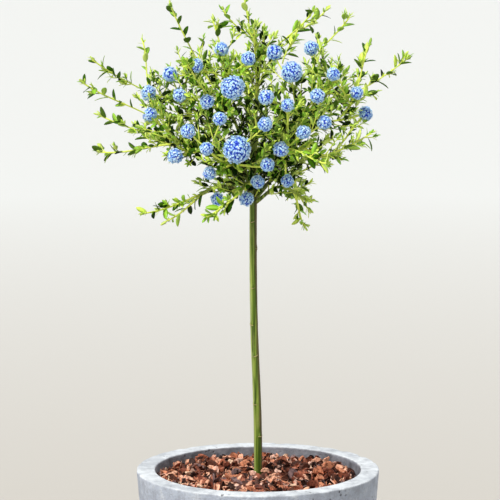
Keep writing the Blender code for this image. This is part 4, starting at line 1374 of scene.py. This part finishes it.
# ======== blooms
def floret_template():
    """A five-pointed cup on a short cone, one unit in radius, facing +Z."""
    verts = [(0.0, 0.0, 0.05)]
    for i in range(10):
        turn = math.tau * i / 10
        reach, lift = (1.0, 0.20) if i % 2 == 0 else (0.52, 0.22)
        verts.append((math.cos(turn) * reach, math.sin(turn) * reach, lift))
    verts.append((0.0, 0.0, -0.85))
    top = [(0, 1 + i, 1 + (i + 1) % 10) for i in range(10)]
    under = [(11, 1 + (i + 1) % 10, 1 + i) for i in range(10)]
    return verts, top + under


def make_blooms(blooms):
    """Each bloom: a dark core as painted shade between the florets, and florets in four blues laid over it by
    the golden angle, palest furthest out, the blues partly painted light and shade by how far out each
    stands.
    """
    rng = random.Random(SEED + 7)
    rows = [[] for _ in FLORET_TINTS]
    cores = Batch()
    nearest, farthest = FLORET_STAND
    for middle, radius in blooms:
        cores.add(*ball(middle, radius * CORE_SHARE, 14, 9))
        count = int(FLORET_COVER * 4 * radius**2 / FLORET_RADIUS**2)
        for i in range(count):
            z = 1 - 2 * (i + 0.5) / count
            turn = i * GOLDEN_ANGLE + rng.uniform(-FLORET_STRAY, FLORET_STRAY)
            out = (around(turn, math.sqrt(1 - z * z), z) + jitter(rng, FLORET_JITTER)).normalized()
            stand = rng.random()
            lump = 1 + FLORET_LUMPS * noise.noise(out * 3.2 + middle * 50)
            spot = middle + out * (radius * lump * (nearest + (farthest - nearest) * stand))
            facing = (out + jitter(rng, FLORET_TILT)).normalized()
            across = sideways(facing, rng.uniform(0, math.tau))
            size = FLORET_RADIUS * rng.uniform(*FLORET_SIZES)
            # painted light and shade: a floret's blue follows partly from how far out it stands
            shade = FLORET_SHADING * stand + (1 - FLORET_SHADING) * rng.random()
            tint = max(k for k, (_, level, _) in enumerate(FLORET_TINTS) if shade <= level)
            rows[tint].append((*spot, *(across * size), *(facing.cross(across) * size), *(facing * size)))
    verts, faces = floret_template()
    for (name, _, colour), some in zip(FLORET_TINTS, rows):
        look = plain(f"floret_{name}", colour, 0.6, 0.3)
        piece = mesh_object(f"florets_{name}", *stamp(verts, faces, some), look, False, "foliage")
        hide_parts(*MASSES)
    # the dark cores are painted shade between the florets
    core = cores.object("bloom_cores_shade", plain("bloom_core_shade", CORE_SHADE_TINT, 0.8, 0.1), True, "foliage")
    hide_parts(*MASSES)


# ======== foliage
def make_foliage(plans):
    """Twigs by the source's rule, side twigs on them and on the limbs, then leaves and blooms."""
    rng = random.Random(SEED + 3)
    twigs, blooms = grow_all(plans)
    for twig in twigs:
        if twig.rank == 1 and depth_in_crown(twig.control[3]) > LONG_SHOOT_DEPTH:
            twig.lead_on(LEADER)
    lines = [(twig.fine()[0], twig.rank) for twig in twigs]
    top = [trunk_point(CROWN_BASE + (TRUNK_TOP - CROWN_BASE) * i / 8) for i in range(9)]
    fine = side_twigs(top, TOP_SIDES_FROM, blooms, rng)
    for plan in plans[:-1]:
        fine += side_twigs(curve_points(plan[4], 12), BOUGH_SIDES_FROM, blooms, rng)
    for line, rank in lines:
        fine += side_twigs(line, TWIG_SIDES_FROM if rank else 0.0, blooms, rng)
    leaves = {}
    for line, rank in lines + [(twig.fine(SIDE_STEPS)[0], twig.rank) for twig in fine]:
        add_leaves(line, rank, leaves, blooms, rng)
    make_leaves(leaves)
    bright, green = Batch(), Batch()
    for twig in twigs:
        (bright if twig.rank else green).add(*tube_arrays(*twig.fine(), 6))
    for twig in fine:
        inner = depth_in_crown(twig.control[0]) < GREEN_DEPTH
        batch = green if inner or rng.random() < GREEN_SHARE else bright
        batch.add(*tube_arrays(*twig.fine(SIDE_STEPS), 5))
    for batch, (name, colour) in zip((bright, green), TWIG_TINTS):
        piece = batch.object(f"twigs_{name}", plain(f"twig_{name}", colour, 0.5), True, "foliage")
        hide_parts(*MASSES)
    make_blooms(blooms)
    counts = {tint: len(rows) for tint, rows in leaves.items()}
    print("twigs", len(twigs), "side twigs", len(fine), "blooms", len(blooms), "leaves", counts)


# ======== stage
def floor_look():
    """Pale floor, warm near the pot and nearly white far from it."""
    g = Graph(bpy.data.materials.new("pale_floor"))
    away = g.tree.nodes.new("ShaderNodeVectorMath")
    away.operation = "LENGTH"
    g.join(g.place, away.inputs[0])
    far = g.ramp(g.sums("MULTIPLY", away.outputs["Value"], 0.1), (0.10, 0.0), (0.75, 1.0))
    return g.finish(g.mix(far, FLOOR_NEAR, FLOOR_FAR), 0.9)


def make_stage():
    """The camera, a pale floor, an even sky and two soft suns."""
    scene = bpy.context.scene
    scene.view_settings.view_transform = "Standard"
    lens = bpy.data.cameras.new("camera")
    lens.lens = LENS
    lens.sensor_width = 36.0
    lens.clip_end = 100.0
    scene.camera = placed("camera", lens)
    scene.camera.location = CAMERA_PLACE
    scene.camera.rotation_euler = (math.pi / 2 - CAMERA_DROP, 0.0, 0.0)

    mesh = bpy.data.meshes.new("floor")
    corners = [(x * FLOOR_REACH, y * FLOOR_REACH, 0) for x, y in ((-1, -1), (1, -1), (1, 1), (-1, 1))]
    mesh.from_pydata(corners, [], [(0, 1, 2, 3)])
    mesh.materials.append(floor_look())
    floor = placed("floor", mesh)

    scene.world = bpy.data.worlds.new("studio")
    light_sky(scene.world)
    for name, place, softness, strength, colour in SUNS:
        lamp = bpy.data.lights.new(name, "SUN")
        lamp.angle, lamp.energy, lamp.color = softness, strength, colour
        sun = placed(name, lamp)
        sun.location = place
        sun.rotation_mode = "QUATERNION"
        sun.rotation_quaternion = Vector(place).to_track_quat("Z", "Y")


def light_sky(world):
    """An even pale sky that brightens towards the horizon, where it meets the floor."""
    g = Graph(world)
    shades = [tuple(part * strength for part in SKY_TINT) for strength in SKY_STRENGTHS]
    g.join(g.ramp(g.parts(g.sky)[2], *zip(SKY_FADE, shades)), g.tree.nodes["Background"].inputs["Color"])


MASSES = [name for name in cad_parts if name.startswith("foliage_")]
make_stage()
make_pot()
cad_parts["soil"].data.materials.clear()
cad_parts["soil"].data.materials.append(soil_and_gap_shade_look())
make_bed()
make_chips()
make_trunk()
PLANS = plan_boughs()
make_boughs(PLANS)
make_foliage(PLANS)
